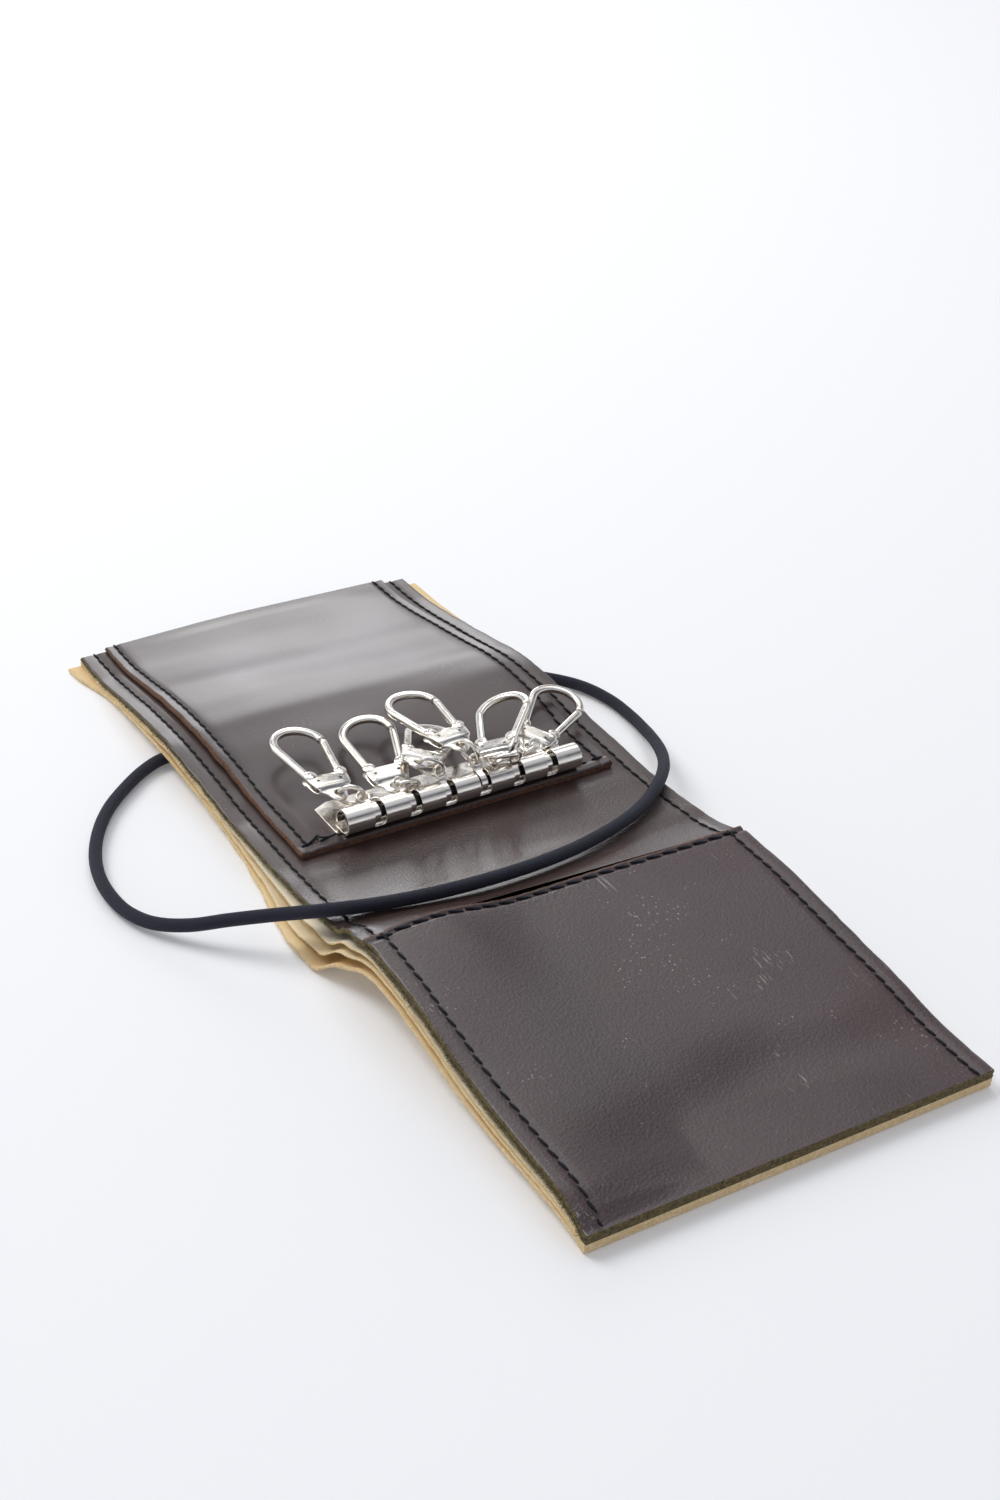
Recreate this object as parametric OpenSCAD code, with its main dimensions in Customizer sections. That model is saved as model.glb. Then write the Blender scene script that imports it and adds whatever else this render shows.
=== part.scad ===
// Leather key case with six snap hooks, lying open, and an elastic loop that holds it shut.
// X runs across the strip, Y along it towards the far end, Z up. The origin is on the table,
// under the middle of the strip. Lengths are in millimetres and angles in degrees.

/* [Leather strip] */
// Width of the lining and the pocket
strip_w = 95; // [80:1:120]
// Length of the front part, from the near end to the pocket mouth
front_len = 81.5; // [60:0.5:110]
// Length of the spine, from the pocket mouth to the key panel
spine_len = 38.5; // [30:0.5:60]
// Length of the back part, from the near edge of the key panel to the far end
back_len = 109; // [90:1:140]
// Thickness of the outer cover
cover_t = 0.9; // [0.6:0.1:1.4]
// Thickness of the interlining
interlining_t = 0.5; // [0.3:0.1:0.9]
// Thickness of the backing under the lining
backing_t = 0.5; // [0.3:0.1:0.9]
// Thickness of the brown lining
lining_t = 1.1; // [0.8:0.1:1.5]
// Thickness of the slip pocket's leather
pocket_t = 1.1; // [0.8:0.1:1.5]
// Thickness of the key panel's leather
key_panel_t = 1.1; // [0.8:0.1:1.5]
// How far the key panel stands in from each long edge
key_panel_inset = 6.7; // [4:0.1:12]

/* [Lie of the leather] */
// Height that the cover rises off the table at the front fold
rise_h = 6; // [3:0.5:9]
// Unit of the gaps between the layers where they fan out
fan_h = 3; // [1.5:0.1:3]
// How far the cover's edge spreads out beside the spine
cover_flare = 5.5; // [1:0.5:8]
// How far the interlining's edge spreads out beside the spine
interlining_flare = 3.5; // [0.5:0.5:6]
// How far the backing's edge spreads out beside the spine
backing_flare = 1.8; // [0.2:0.2:4]
// Distance from the pocket mouth to the front fold
mouth_to_fold = 2; // [1:0.5:4]
// Distance from the key panel to the back fold
key_to_fold = 5.5; // [3:0.5:8]

/* [Key bar] */
// Length of the rolled tube
bar_len = 61; // [60:0.5:66]
// How far the flange stands out past each end of the tube
flange_out = 1.3; // [0.5:0.1:2]
// Place of the bar's middle across the strip
bar_x = 1; // [-3:0.5:3]
// Outer radius of the rolled tube
tube_r = 3; // [2.9:0.05:3.4]
// Thickness of the bar's sheet
sheet_t = 0.5; // [0.35:0.05:0.55]
// Width of the flange behind the tube's axis
flange_w = 12; // [9:0.1:14]
// Distance from the key panel's near edge to the tube's axis
tube_from_edge = 2.5; // [1:0.1:5]
// Distance between neighbouring slots
slot_pitch = 9; // [8.8:0.05:9.6]
// Width of a slot
slot_w = 2.8; // [2.6:0.1:3.2]
// Distance of each rivet from the bar's middle
rivet_x = 18; // [17.6:0.1:19.2]
// Distance of the rivets from the tube's axis
rivet_reach = 7; // [5.5:0.1:7.6]
// Radius of a rivet's shank
rivet_r = 1; // [0.7:0.1:1.2]
// Radius of a rivet's head
rivet_head_r = 1.8; // [1.5:0.1:2.2]
// Height of a rivet's head
rivet_head_h = 0.5; // [0.3:0.1:0.8]

/* [Links and rings] */
// Distance from the rod's axis to the hole in a link's tail
link_reach = 5; // [4.9:0.05:5.4]
// Width of a link's strap on the rod
link_w = 1.6; // [1.3:0.1:2]
// Thickness of a link's tail
link_tail_t = 0.9; // [0.7:0.05:1]
// Radius of the hole in a link's tail at its narrowest
link_hole_r = 1.05; // [0.95:0.05:1.1]
// Radius of the round end of a link's tail
link_end_r = 1.75; // [1.6:0.05:1.9]
// Radius of a ring's middle line
ring_r = 2.7; // [2.6:0.05:2.8]
// Radius of a ring's wire
ring_wire_r = 0.5; // [0.4:0.05:0.55]

/* [Snap hooks] */
// Radius of the bow's middle line
line_r = 5.8; // [5.4:0.1:6.4]
// Distance from the ring hole to the centre of the bow
bow_reach = 19.7; // [18:0.1:22]
// Width of the bow's wire
band_w = 1.7; // [1.5:0.1:1.9]
// Depth of the bow's wire
band_d = 1.6; // [1.4:0.1:1.8]
// Distance of the leg's and the gate's feet from the hook's middle
root_x = 3.55; // [3.3:0.05:3.9]
// Distance of their feet from the ring hole
root_y = 5.9; // [5.5:0.1:6.4]
// Distance of the housing's upper edge from the ring hole
housing_top = 6.3; // [6:0.1:6.8]
// Thickness of the housing
housing_t = 2.6; // [2.4:0.1:2.8]
// Thickness of the tongue with the ring hole
tongue_t = 1; // [0.8:0.1:1]
// Radius of the ring hole at its narrowest
hook_hole_r = 1.05; // [0.95:0.05:1.1]
// Radius of the tongue round the ring hole
tongue_r = 2.1; // [1.9:0.1:2.3]
// Radius of the pin that the gate turns on
gate_pin_r = 0.5; // [0.4:0.05:0.6]

/* [Elastic] */
// Diameter of the elastic
elastic_d = 2.9; // [2:0.1:3]
// Length of the clip that joins its ends
clip_len = 8; // [6:0.5:9]
// Radius of the clip's post
clip_post_r = 0.9; // [0.6:0.1:1.2]

/* [Thread] */
// Distance between stitches along the long edges
stitch_pitch = 3.1; // [2.6:0.1:4]
// Length of one stitch
stitch_len = 2.3; // [1.6:0.1:2.4]
// Width of the thread
thread_w = 0.7; // [0.5:0.1:0.9]
// Distance of the long seams from the strip's edge
seam_inset = 4; // [3:0.1:5]
// Distance of the seam round the key panel from the panel's edge
key_seam_inset = 2.7; // [2:0.1:4]
// Distance between stitches along the pocket mouth
mouth_pitch = 4; // [3:0.1:5]

/* [Hidden] */
HOOKS = 6;

$fn = 48;
// Overrun of every cut, and the clearance between pieces that only touch
cut = 1;
seam = 0.05;
// Gap between neighbouring panels at a fold, and between flat pieces in one hook
fold_gap = 0.3;
snug = 0.1;
// Running clearance of a strap or gate on its pin
running = 0.06;

strip_len = front_len + spine_len + back_len;
y_near = -strip_len / 2;
y_mouth = y_near + front_len;
y_key = y_mouth + spine_len;
y_far = strip_len / 2;
y_fold_front = y_mouth + mouth_to_fold;
y_fold_back = y_key - key_to_fold;

// A station tells how far along the strip a place is: 0 near end, 1 pocket mouth, 2 key panel, 3 far end
function station(y) =
    y < y_mouth ? (y - y_near) / front_len
    : y < y_key ? 1 + (y - y_mouth) / spine_len
    : 2 + (y - y_key) / back_len;

// Heights at chosen stations, each as a share of rise_h or fan_h
rise_shares = [[0, 0], [0.14, 0.1], [0.26, 0.18], [0.39, 0.23], [0.51, 0.33], [0.63, 0.53],
    [0.75, 0.78], [0.85, 0.95], [0.94, 1], [1, 0.88], [1.1, 0.57], [1.21, 0.18], [1.31, 0],
    [2.16, 0], [2.22, 0.2], [2.29, 0.42], [2.37, 0.53], [2.47, 0.57], [2.56, 0.52], [2.67, 0.4],
    [2.77, 0.22], [2.88, 0.05], [3, 0]];
low_gap_shares = [[0, 0], [0.14, 0.07], [0.26, 0.14], [0.39, 0.3], [0.51, 0.43], [0.75, 0.53],
    [1, 0.57], [1.1, 0.63], [1.21, 0.8], [1.31, 0.7], [1.52, 0.3], [1.78, 0.17], [2, 0.27],
    [2.16, 0.27], [2.22, 0.45], [2.37, 0.57], [2.47, 0.6], [2.56, 0.37], [2.67, 0.12], [3, 0]];
mid_gap_shares = [[0, 0], [0.14, 0.08], [0.39, 0.23], [0.85, 0.25], [1, 0.4], [1.21, 0.47],
    [1.31, 0.57], [1.52, 0.77], [1.78, 0.75], [2, 0.5], [2.16, 0.5], [2.22, 0.27], [2.37, 0.08],
    [2.47, 0.04], [2.6, 0.07], [2.77, 0.03], [3, 0]];
top_gap_shares = [[0, 0], [0.14, 0.08], [0.39, 0.25], [0.63, 0.3], [0.94, 0.17], [1, 0.3],
    [1.1, 0.43], [1.31, 0.6], [1.52, 0.4], [1.78, 0.3], [2, 0.32], [2.16, 0.32], [2.37, 0.08],
    [2.6, 0.07], [2.77, 0.03], [3, 0]];
pocket_gap_shares = [[0, 0], [0.5, 0.03], [0.94, 0.04], [1, 0.08]];
key_gap_shares = [[2, 0.17], [2.16, 0.17], [2.3, 0.3], [2.37, 0.33], [2.47, 0.25], [2.67, 0.23],
    [2.8, 0.1], [3, 0]];
flare_shares = [[0.9, 0], [1, 0.1], [1.3, 0.9], [1.5, 1], [1.78, 0.78], [2, 0.45], [2.16, 0.06],
    [2.3, 0]];

// Smooth curve through a table of [station, share] pairs that never overshoots them
function span_of(table, s, i = 0) =
    i >= len(table) - 2 || s < table[i + 1][0] ? i : span_of(table, s, i + 1);
function chord(table, i) = (table[i + 1][1] - table[i][1]) / (table[i + 1][0] - table[i][0]);
function slope(table, i) =
    i <= 0 || i >= len(table) - 1 ? 0
    : let (before = chord(table, i - 1), after = chord(table, i))
        before * after <= 0 ? 0 : 2 * before * after / (before + after);
function share(table, station_at) =
    let (s = min(max(station_at, table[0][0]), table[len(table) - 1][0]),
        i = span_of(table, s), w = table[i + 1][0] - table[i][0], t = (s - table[i][0]) / w)
    table[i][1] * (1 + 2 * t) * (1 - t) * (1 - t) + table[i + 1][1] * t * t * (3 - 2 * t)
    + slope(table, i) * w * t * (1 - t) * (1 - t) - slope(table, i + 1) * w * t * t * (1 - t);

// Height of each layer's underside and of the surfaces that carry something
function cover_z(y) = rise_h * share(rise_shares, station(y));
function interlining_z(y) = cover_z(y) + cover_t + seam + fan_h * share(low_gap_shares, station(y));
function backing_z(y) =
    interlining_z(y) + interlining_t + seam + fan_h * share(mid_gap_shares, station(y));
function lining_z(y) = backing_z(y) + backing_t + seam + fan_h * share(top_gap_shares, station(y));
function lining_top(y) = lining_z(y) + lining_t;
function pocket_z(y) = lining_top(y) + seam + fan_h * share(pocket_gap_shares, station(y));
function pocket_top(y) = pocket_z(y) + pocket_t;
function key_z(y) = lining_top(y) + seam + fan_h * share(key_gap_shares, station(y));
function key_top(y) = key_z(y) + key_panel_t;

// Places along one panel, close enough that its curve looks smooth
panel_steps = 26;
function places(from, to) = [for (i = [0 : panel_steps]) from + (to - from) * i / panel_steps];

// Key bar: the flange lies on the key panel, and the tube's axis is the links' axis
bar_z = key_top(y_key + tube_from_edge) + seam;
rod_y = y_key + tube_from_edge;
rod_z = bar_z + tube_r;
rod_r = tube_r - sheet_t - seam;
rod_inset = 4;
flange_cut_x = 3.5;
flange_cut_y = 1.6;
rivet_y = rod_y + rivet_reach;
washer_t = 0.2;
link_band_t = 0.48;
link_bore_r = rod_r + running;
countersink = 0.35;

function slot_x(k) = bar_x + (k - (HOOKS + 1) / 2) * slot_pitch;

// How each link, ring and hook lies, chosen by hand for hooks 1 to 6: the link's angle over the table,
// the ring's [roll, rise, heading], the place of the hook on the ring, and the hook's own
// [pitch, roll, heading]
lie_angles = [
    [15, [-15, 15, 65], -12, [4, 4, -1]],
    [32, [50.5, -31, -74.5], -132.5, [5, -7, -12]],
    [66, [-24.5, 34, 67], -29, [-13.3, 3, -42]],
    [55, [-25, 58, 37], -60, [-1, 0, 2]],
    [99, [-49.5, 11.5, 89], -56.5, [4, -22.5, -39.5]],
    [31, [-59.5, -27.5, 77.5], -116.5, [3.5, 10, -52]]];
// How far each link has slid from the middle of its slot, as a share of its play there
slide_shares = [-0.58, -0.83, -0.92, 0.17, -0.83, -0.83];

// Places of the holes and turns of the pieces, each hung on the one before it
function spun(v, a) = [v[0], v[1] * cos(a) - v[2] * sin(a), v[1] * sin(a) + v[2] * cos(a)];
function rolled(v, a) = [v[0] * cos(a) + v[2] * sin(a), v[1], v[2] * cos(a) - v[0] * sin(a)];
function headed(v, a) = [v[0] * cos(a) - v[1] * sin(a), v[0] * sin(a) + v[1] * cos(a), v[2]];
function turned(v, angles) = headed(rolled(spun(v, angles[0]), angles[1]), angles[2]);
function link_turn(k) = lie_angles[k - 1][0];
function link_x(k) = slot_x(k) + slide_shares[k - 1] * (slot_w - link_w) / 2;
function ring_turn(k) = let (lie = lie_angles[k - 1][1]) [90 + lie[0], -lie[1], 90 + lie[2]];
function hook_place(k) = lie_angles[k - 1][2];
function hook_turn(k) = lie_angles[k - 1][3];
function link_hole(k) =
    [link_x(k), rod_y + link_reach * cos(link_turn(k)), rod_z + link_reach * sin(link_turn(k))];
function ring_centre(k) = link_hole(k) + turned([ring_r, 0, 0], ring_turn(k));
function hook_hole(k) =
    ring_centre(k) + turned(ring_r * [cos(hook_place(k)), sin(hook_place(k)), 0], ring_turn(k));

// Bow, housing and gate in a hook's own frame: X across, Y towards the bow, the ring hole at the origin
root_far = norm([root_x, bow_reach - root_y]);
leg_len = sqrt(root_far * root_far - line_r * line_r);
leg_turn = asin(line_r / root_far) - atan2(root_x, bow_reach - root_y);
gate_len = norm([line_r - root_x, bow_reach - root_y]);
band_round = 0.6;
ear_x = 3.7;
ear_y = 6.9;
ear_r = 1.5;
corner_x = 4.3;
corner_y = 2.5;
step_y = 2.2;
slot_t = band_d + 2 * snug;
slot_left = 2.6;
gate_end_r = 1.3;
pin_head_r = 0.85;
pin_head_h = 0.15;
spring_t = 0.2;

// Frames that carry a link, its ring and its hook to their places
module at_link(k) {
    translate([link_x(k), rod_y, rod_z]) rotate([link_turn(k), 0, 0]) children();
}
module at_ring(k) {
    translate(ring_centre(k)) rotate(ring_turn(k)) children();
}
module at_hook(k) {
    translate(hook_hole(k)) rotate(hook_turn(k)) children();
}

// One layer of one panel: its curve along Y, cut to its plan, whose edges spread by flare
module layer(from, to, thickness, flare, under) {
    ys = places(from, to);
    half = [for (y = ys) strip_w / 2 + flare * share(flare_shares, station(y))];
    reach = strip_w / 2 + flare + cut;
    height = under(y_mouth) + under(y_key) + rise_h + thickness + cut;
    intersection() {
        translate([-reach, 0, 0]) rotate([90, 0, 90]) linear_extrude(2 * reach)
            polygon(concat([for (y = ys) [y, under(y)]],
                [for (i = [len(ys) - 1 : -1 : 0]) [ys[i], under(ys[i]) + thickness]]));
        translate([0, 0, -cut]) linear_extrude(height + cut)
            polygon(concat([for (i = [0 : len(ys) - 1]) [half[i], ys[i]]],
                [for (i = [len(ys) - 1 : -1 : 0]) [-half[i], ys[i]]]));
    }
}
// The three panels that every layer of the strip is cut into at the folds
function panel_from(panel) =
    panel == "front" ? y_near : (panel == "spine" ? y_fold_front : y_fold_back) + fold_gap / 2;
function panel_to(panel) =
    panel == "back" ? y_far : (panel == "spine" ? y_fold_back : y_fold_front) - fold_gap / 2;

module cover(panel) {
    color("#e6c68e") difference() {
        layer(panel_from(panel), panel_to(panel), cover_t, cover_flare, function(y) cover_z(y));
        if (panel == "back") translate([0, clip_y, 0]) cylinder(r = clip_post_r + seam, h = rod_z);
    }
}
module interlining(panel) {
    color("#ebcd96")
        layer(panel_from(panel), panel_to(panel), interlining_t, interlining_flare,
            function(y) interlining_z(y));
}
module backing(panel) {
    color("#f0dcb4")
        layer(panel_from(panel), panel_to(panel), backing_t, backing_flare, function(y) backing_z(y));
}
module lining(panel) {
    color("#4a3c39")
        layer(panel_from(panel), panel_to(panel), lining_t, 0, function(y) lining_z(y));
}

module sheet_profile(from, to, width, thickness, under) {
    ys = places(from, to);
    translate([-width / 2, 0, 0]) rotate([90, 0, 90]) linear_extrude(width)
        polygon(concat([for (y = ys) [y, under(y)]],
            [for (i = [len(ys) - 1 : -1 : 0]) [ys[i], under(ys[i]) + thickness]]));
}
module slip_pocket() {
    color("#4a3c39") sheet_profile(y_near, y_mouth, strip_w, pocket_t, function(y) pocket_z(y));
}
module key_panel() {
    color("#54433d") difference() {
        sheet_profile(y_key, y_far, strip_w - 2 * key_panel_inset, key_panel_t, function(y) key_z(y));
        for (side = [-1, 1]) translate([bar_x + side * rivet_x, rivet_y, 0])
            cylinder(r = rivet_r + seam, h = rod_z);
    }
}

// Rolled sheet: the flange and the tube are one piece, open in six slots
module bar_plate() {
    flange_half = bar_len / 2 + flange_out;
    flange_far = rod_y + flange_w;
    color("#d9d6cf") difference() {
        union() {
            translate([bar_x - bar_len / 2, rod_y, rod_z]) rotate([0, 90, 0])
                cylinder(r = tube_r, h = bar_len);
            translate([bar_x, 0, bar_z]) linear_extrude(sheet_t) polygon([
                [-flange_half, rod_y], [flange_half, rod_y], [flange_half, flange_far - flange_cut_y],
                [flange_half - flange_cut_x, flange_far], [flange_cut_x - flange_half, flange_far],
                [-flange_half, flange_far - flange_cut_y]]);
        }
        translate([bar_x - bar_len / 2 - cut, rod_y, rod_z]) rotate([0, 90, 0])
            cylinder(r = tube_r - sheet_t, h = bar_len + 2 * cut);
        // Each slot goes right through the tube, so that the flange alone joins the tube's lengths
        for (k = [1 : HOOKS]) translate([slot_x(k) - slot_w / 2, rod_y - tube_r - cut, bar_z - cut])
            cube([slot_w, 2 * tube_r + 2 * cut, 2 * (tube_r + cut)]);
        for (side = [-1, 1]) translate([bar_x + side * rivet_x, rivet_y, bar_z - cut])
            cylinder(r = rivet_r + seam, h = sheet_t + 2 * cut);
    }
}
module bar_rod() {
    color("#b9b6b0") translate([bar_x - bar_len / 2 + rod_inset, rod_y, rod_z]) rotate([0, 90, 0])
        cylinder(r = rod_r, h = bar_len - 2 * rod_inset);
}
// A rivet's shank runs from its head over the flange to the clinched end under its washer
washer_z = key_z(rivet_y) - seam - washer_t;
clinch_h = 0.15;
module bar_rivets() {
    head_z = bar_z + sheet_t + seam / 2;
    color("#d9d6cf") for (side = [-1, 1]) translate([bar_x + side * rivet_x, rivet_y, 0]) {
        translate([0, 0, washer_z - seam - clinch_h]) cylinder(r = rivet_head_r * 0.8, h = clinch_h);
        translate([0, 0, washer_z - seam - clinch_h]) cylinder(r = rivet_r, h = head_z - washer_z + clinch_h);
        translate([0, 0, head_z]) cylinder(r1 = rivet_head_r, r2 = rivet_head_r * 0.6, h = rivet_head_h);
    }
}
module rivet_washers() {
    color("#c9c2b2") for (side = [-1, 1]) translate([bar_x + side * rivet_x, rivet_y, washer_z])
        difference() {
            cylinder(r = rivet_head_r, h = washer_t);
            translate([0, 0, -cut]) cylinder(r = rivet_r + seam, h = washer_t + 2 * cut);
        }
}

// A link: a strap round the rod, with a flat tail that carries a countersunk hole
module link(k) {
    band_r = link_bore_r + link_band_t;
    color("#d2cfc8") at_link(k) difference() {
        union() {
            translate([-link_w / 2, 0, 0]) rotate([0, 90, 0]) cylinder(r = band_r, h = link_w);
            translate([-link_w / 2, 0, -link_tail_t / 2]) cube([link_w, link_reach, link_tail_t]);
            translate([0, link_reach, -link_tail_t / 2]) cylinder(r = link_end_r, h = link_tail_t);
        }
        translate([-link_w / 2 - cut, 0, 0]) rotate([0, 90, 0])
            cylinder(r = link_bore_r, h = link_w + 2 * cut);
        translate([0, link_reach, 0]) countersunk_hole(link_hole_r, link_tail_t);
    }
}
// A hole through a plate that lies on z = 0, opened to both faces so that a ring can pass aslant
module countersunk_hole(r, thickness) {
    translate([0, 0, -thickness / 2 - cut]) cylinder(r = r, h = thickness + 2 * cut);
    for (side = [0, 1]) mirror([0, 0, side])
        cylinder(r1 = r, r2 = r + countersink * (1 + cut / thickness), h = thickness / 2 + cut / 2);
}

module ring(k) {
    color("#dedbd3") at_ring(k) rotate_extrude() translate([ring_r, 0]) circle(r = ring_wire_r, $fn = 24);
}

// Section of the wire: a rectangle with round corners, its depth along Y
module band_section() {
    w = band_w / 2 - band_round;
    d = band_d / 2 - band_round;
    polygon([for (c = [[w, -d, -90], [w, d, 0], [-w, d, 90], [-w, -d, 180]], i = [0 : 4])
        [c[0] + band_round * cos(c[2] + i * 22.5), c[1] + band_round * sin(c[2] + i * 22.5)]]);
}
module bar_from_root(side, length) {
    translate([side * root_x, root_y, 0]) rotate([0, 0, -side * leg_turn]) rotate([-90, 0, 0])
        linear_extrude(length) band_section();
}
// The bow runs from the leg round to the nose, whose end is cut round the gate's pivot
module hook_bow() {
    difference() {
        translate([0, bow_reach, 0]) rotate([0, 0, -leg_turn])
            rotate_extrude(angle = 180 + 2 * leg_turn) translate([line_r, 0]) band_section();
        intersection() {
            translate([root_x, root_y, -housing_t]) cylinder(r = gate_len + snug, h = 2 * housing_t, $fn = 96);
            translate([0, 0, -housing_t]) cube([2 * line_r, 2 * bow_reach, 2 * housing_t]);
        }
    }
}
// Housing outline: the tongue at the ring hole, and an ear over each foot
module housing_outline() {
    polygon(concat(
        [for (i = [0 : 10]) let (t = 220 + i * 10) tongue_r * [cos(t), sin(t)]],
        [[corner_x, corner_y]],
        [for (i = [0 : 8]) let (t = -30 + i * 20) [ear_x + ear_r * cos(t), ear_y + ear_r * sin(t)]],
        [[root_x - band_w, housing_top], [band_w - root_x, housing_top]],
        [for (i = [0 : 8]) let (t = 50 + i * 20) [-ear_x + ear_r * cos(t), ear_y + ear_r * sin(t)]],
        [[-corner_x, corner_y]]));
}
module hook(k) {
    side_cut = (housing_t - tongue_t) / 2;
    color("#dedbd3") at_hook(k) difference() {
        union() {
            translate([0, 0, -housing_t / 2]) linear_extrude(housing_t) housing_outline();
            bar_from_root(-1, leg_len + seam);
            hook_bow();
        }
        // Over and under the tongue the housing is cut away, so that the ring has room
        for (z = [-housing_t / 2 - cut, tongue_t / 2])
            translate([-2 * corner_x, -tongue_r - cut, z])
                cube([4 * corner_x, tongue_r + cut + step_y, side_cut + cut]);
        // Slot for the gate's foot
        translate([root_x - slot_left, root_y - gate_end_r - 2 * snug, -slot_t / 2])
            cube([slot_left + 2 * ear_r, 2 * ear_y, slot_t]);
        translate([root_x, root_y, -housing_t / 2 - cut])
            cylinder(r = gate_pin_r + seam / 2, h = housing_t + 2 * cut);
        countersunk_hole(hook_hole_r, tongue_t);
    }
}
module gate(k) {
    color("#dedbd3") at_hook(k) difference() {
        union() {
            intersection() {
                bar_from_root(1, gate_len + cut);
                translate([root_x, root_y, -band_d]) cylinder(r = gate_len, h = 2 * band_d, $fn = 96);
            }
            translate([root_x, root_y, -band_d / 2]) cylinder(r = gate_end_r, h = band_d);
        }
        translate([root_x, root_y, -band_d]) cylinder(r = gate_pin_r + running, h = 2 * band_d);
    }
}
module gate_pin(k) {
    color("#c4c0b6") at_hook(k) translate([root_x, root_y, 0]) {
        translate([0, 0, -housing_t / 2]) cylinder(r = gate_pin_r, h = housing_t);
        translate([0, 0, housing_t / 2]) cylinder(r1 = pin_head_r, r2 = gate_pin_r, h = pin_head_h);
    }
}
// A bent leaf between the slot's wall and the gate's foot
module gate_spring(k) {
    wall_x = root_x - slot_left + snug;
    foot_x = root_x - gate_end_r - snug;
    low_y = root_y - gate_end_r + snug;
    high_y = root_y + snug;
    color("#a9a79f") at_hook(k) translate([0, 0, -band_d / 2]) linear_extrude(band_d)
        polygon([[wall_x, high_y], [wall_x, low_y], [wall_x + spring_t, low_y],
            [foot_x, high_y], [foot_x - spring_t, high_y], [wall_x + spring_t, low_y + 2 * spring_t],
            [wall_x + spring_t, high_y]]);
}

// Elastic: out of the clip under the back part, round on the table, up over the spine and back
clip_y = 58;
clip_z = 1.6;
clip_r = 1.55;
route = [[-4, 58, 1.6], [-12, 58.3, 1.6], [-22, 60, 1.6], [-32, 61.8, 1.6], [-41, 62.5, 1.6],
    [-47.9, 62, 1.6], [-54, 59.1, 1.6], [-60.2, 54.5, 1.6], [-66.2, 49, 1.6], [-71.1, 42.8, 1.6],
    [-75.1, 35.8, 1.6], [-77.9, 28.2, 1.6], [-79.1, 20.2, 1.6], [-78.4, 12, 1.6], [-75.4, 4.8, 2.2],
    [-70, -1.2, 3.8], [-63.3, -6.2, 6.2], [-55.4, -11.6, 8.4], [-47.2, -17.6, 10.7], [-36, -20.3, 10.4],
    [-25.2, -22.6, 10.7], [-14.4, -23.9, 11], [-2.8, -24.2, 11.1], [8.3, -23.1, 10.8],
    [17.6, -21, 10.4], [25.2, -18.7, 10.1], [31.8, -15.9, 9.7], [37.6, -12.6, 9.3], [42.8, -9, 9.4],
    [48.1, -4.1, 8.5], [52.8, 1.6, 7], [56.4, 7.4, 5.5], [59.4, 13.6, 3.9], [61.8, 20.7, 2.5],
    [63.3, 28.5, 1.7], [63.3, 37, 1.6], [61, 45.7, 1.6], [56, 52.8, 1.6], [49, 58.6, 1.6],
    [41, 61.3, 1.6], [32, 61.8, 1.6], [22, 60.2, 1.6], [12, 58.4, 1.6], [4, 58, 1.6]];
tube_sides = 8;
function unit(v) = v / norm(v);
// A tube's ring of corners round one route point, square to the route there
function ring_at(i) =
    let (last = len(route) - 1,
        along = i == 0 ? [-1, 0, 0] : i == last ? [-1, 0, 0]
            : unit(route[i + 1] - route[i - 1]),
        side = unit(cross(along, [0, 0, 1])), up = cross(side, along))
    [for (j = [0 : tube_sides - 1]) let (t = (j + 0.5) * 360 / tube_sides)
        route[i] + elastic_d / 2 * (side * cos(t) + up * sin(t))];
module elastic_loop() {
    n = len(route);
    points = [for (i = [0 : n - 1]) each ring_at(i)];
    walls = [for (i = [0 : n - 2], j = [0 : tube_sides - 1])
        let (a = i * tube_sides + j, b = i * tube_sides + (j + 1) % tube_sides)
            each [[a, b, b + tube_sides], [a, b + tube_sides, a + tube_sides]]];
    caps = concat([for (j = [1 : tube_sides - 2]) [0, j + 1, j]],
        [for (j = [1 : tube_sides - 2])
            [(n - 1) * tube_sides, (n - 1) * tube_sides + j, (n - 1) * tube_sides + j + 1]]);
    color("#23232d") polyhedron(points, concat(walls, caps));
}
// The clip's post goes up through the cover and is clinched over it
module elastic_clip() {
    cover_top = cover_z(clip_y) + cover_t;
    color("#8f8d88") {
        translate([-clip_len / 2, clip_y, clip_z]) rotate([0, 90, 0]) cylinder(r = clip_r, h = clip_len);
        translate([0, clip_y, clip_z]) cylinder(r = clip_post_r, h = cover_top + 2 * seam - clip_z);
        translate([0, clip_y, cover_top + 2 * seam]) cylinder(r = 2 * clip_post_r, h = sheet_t);
    }
}

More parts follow.
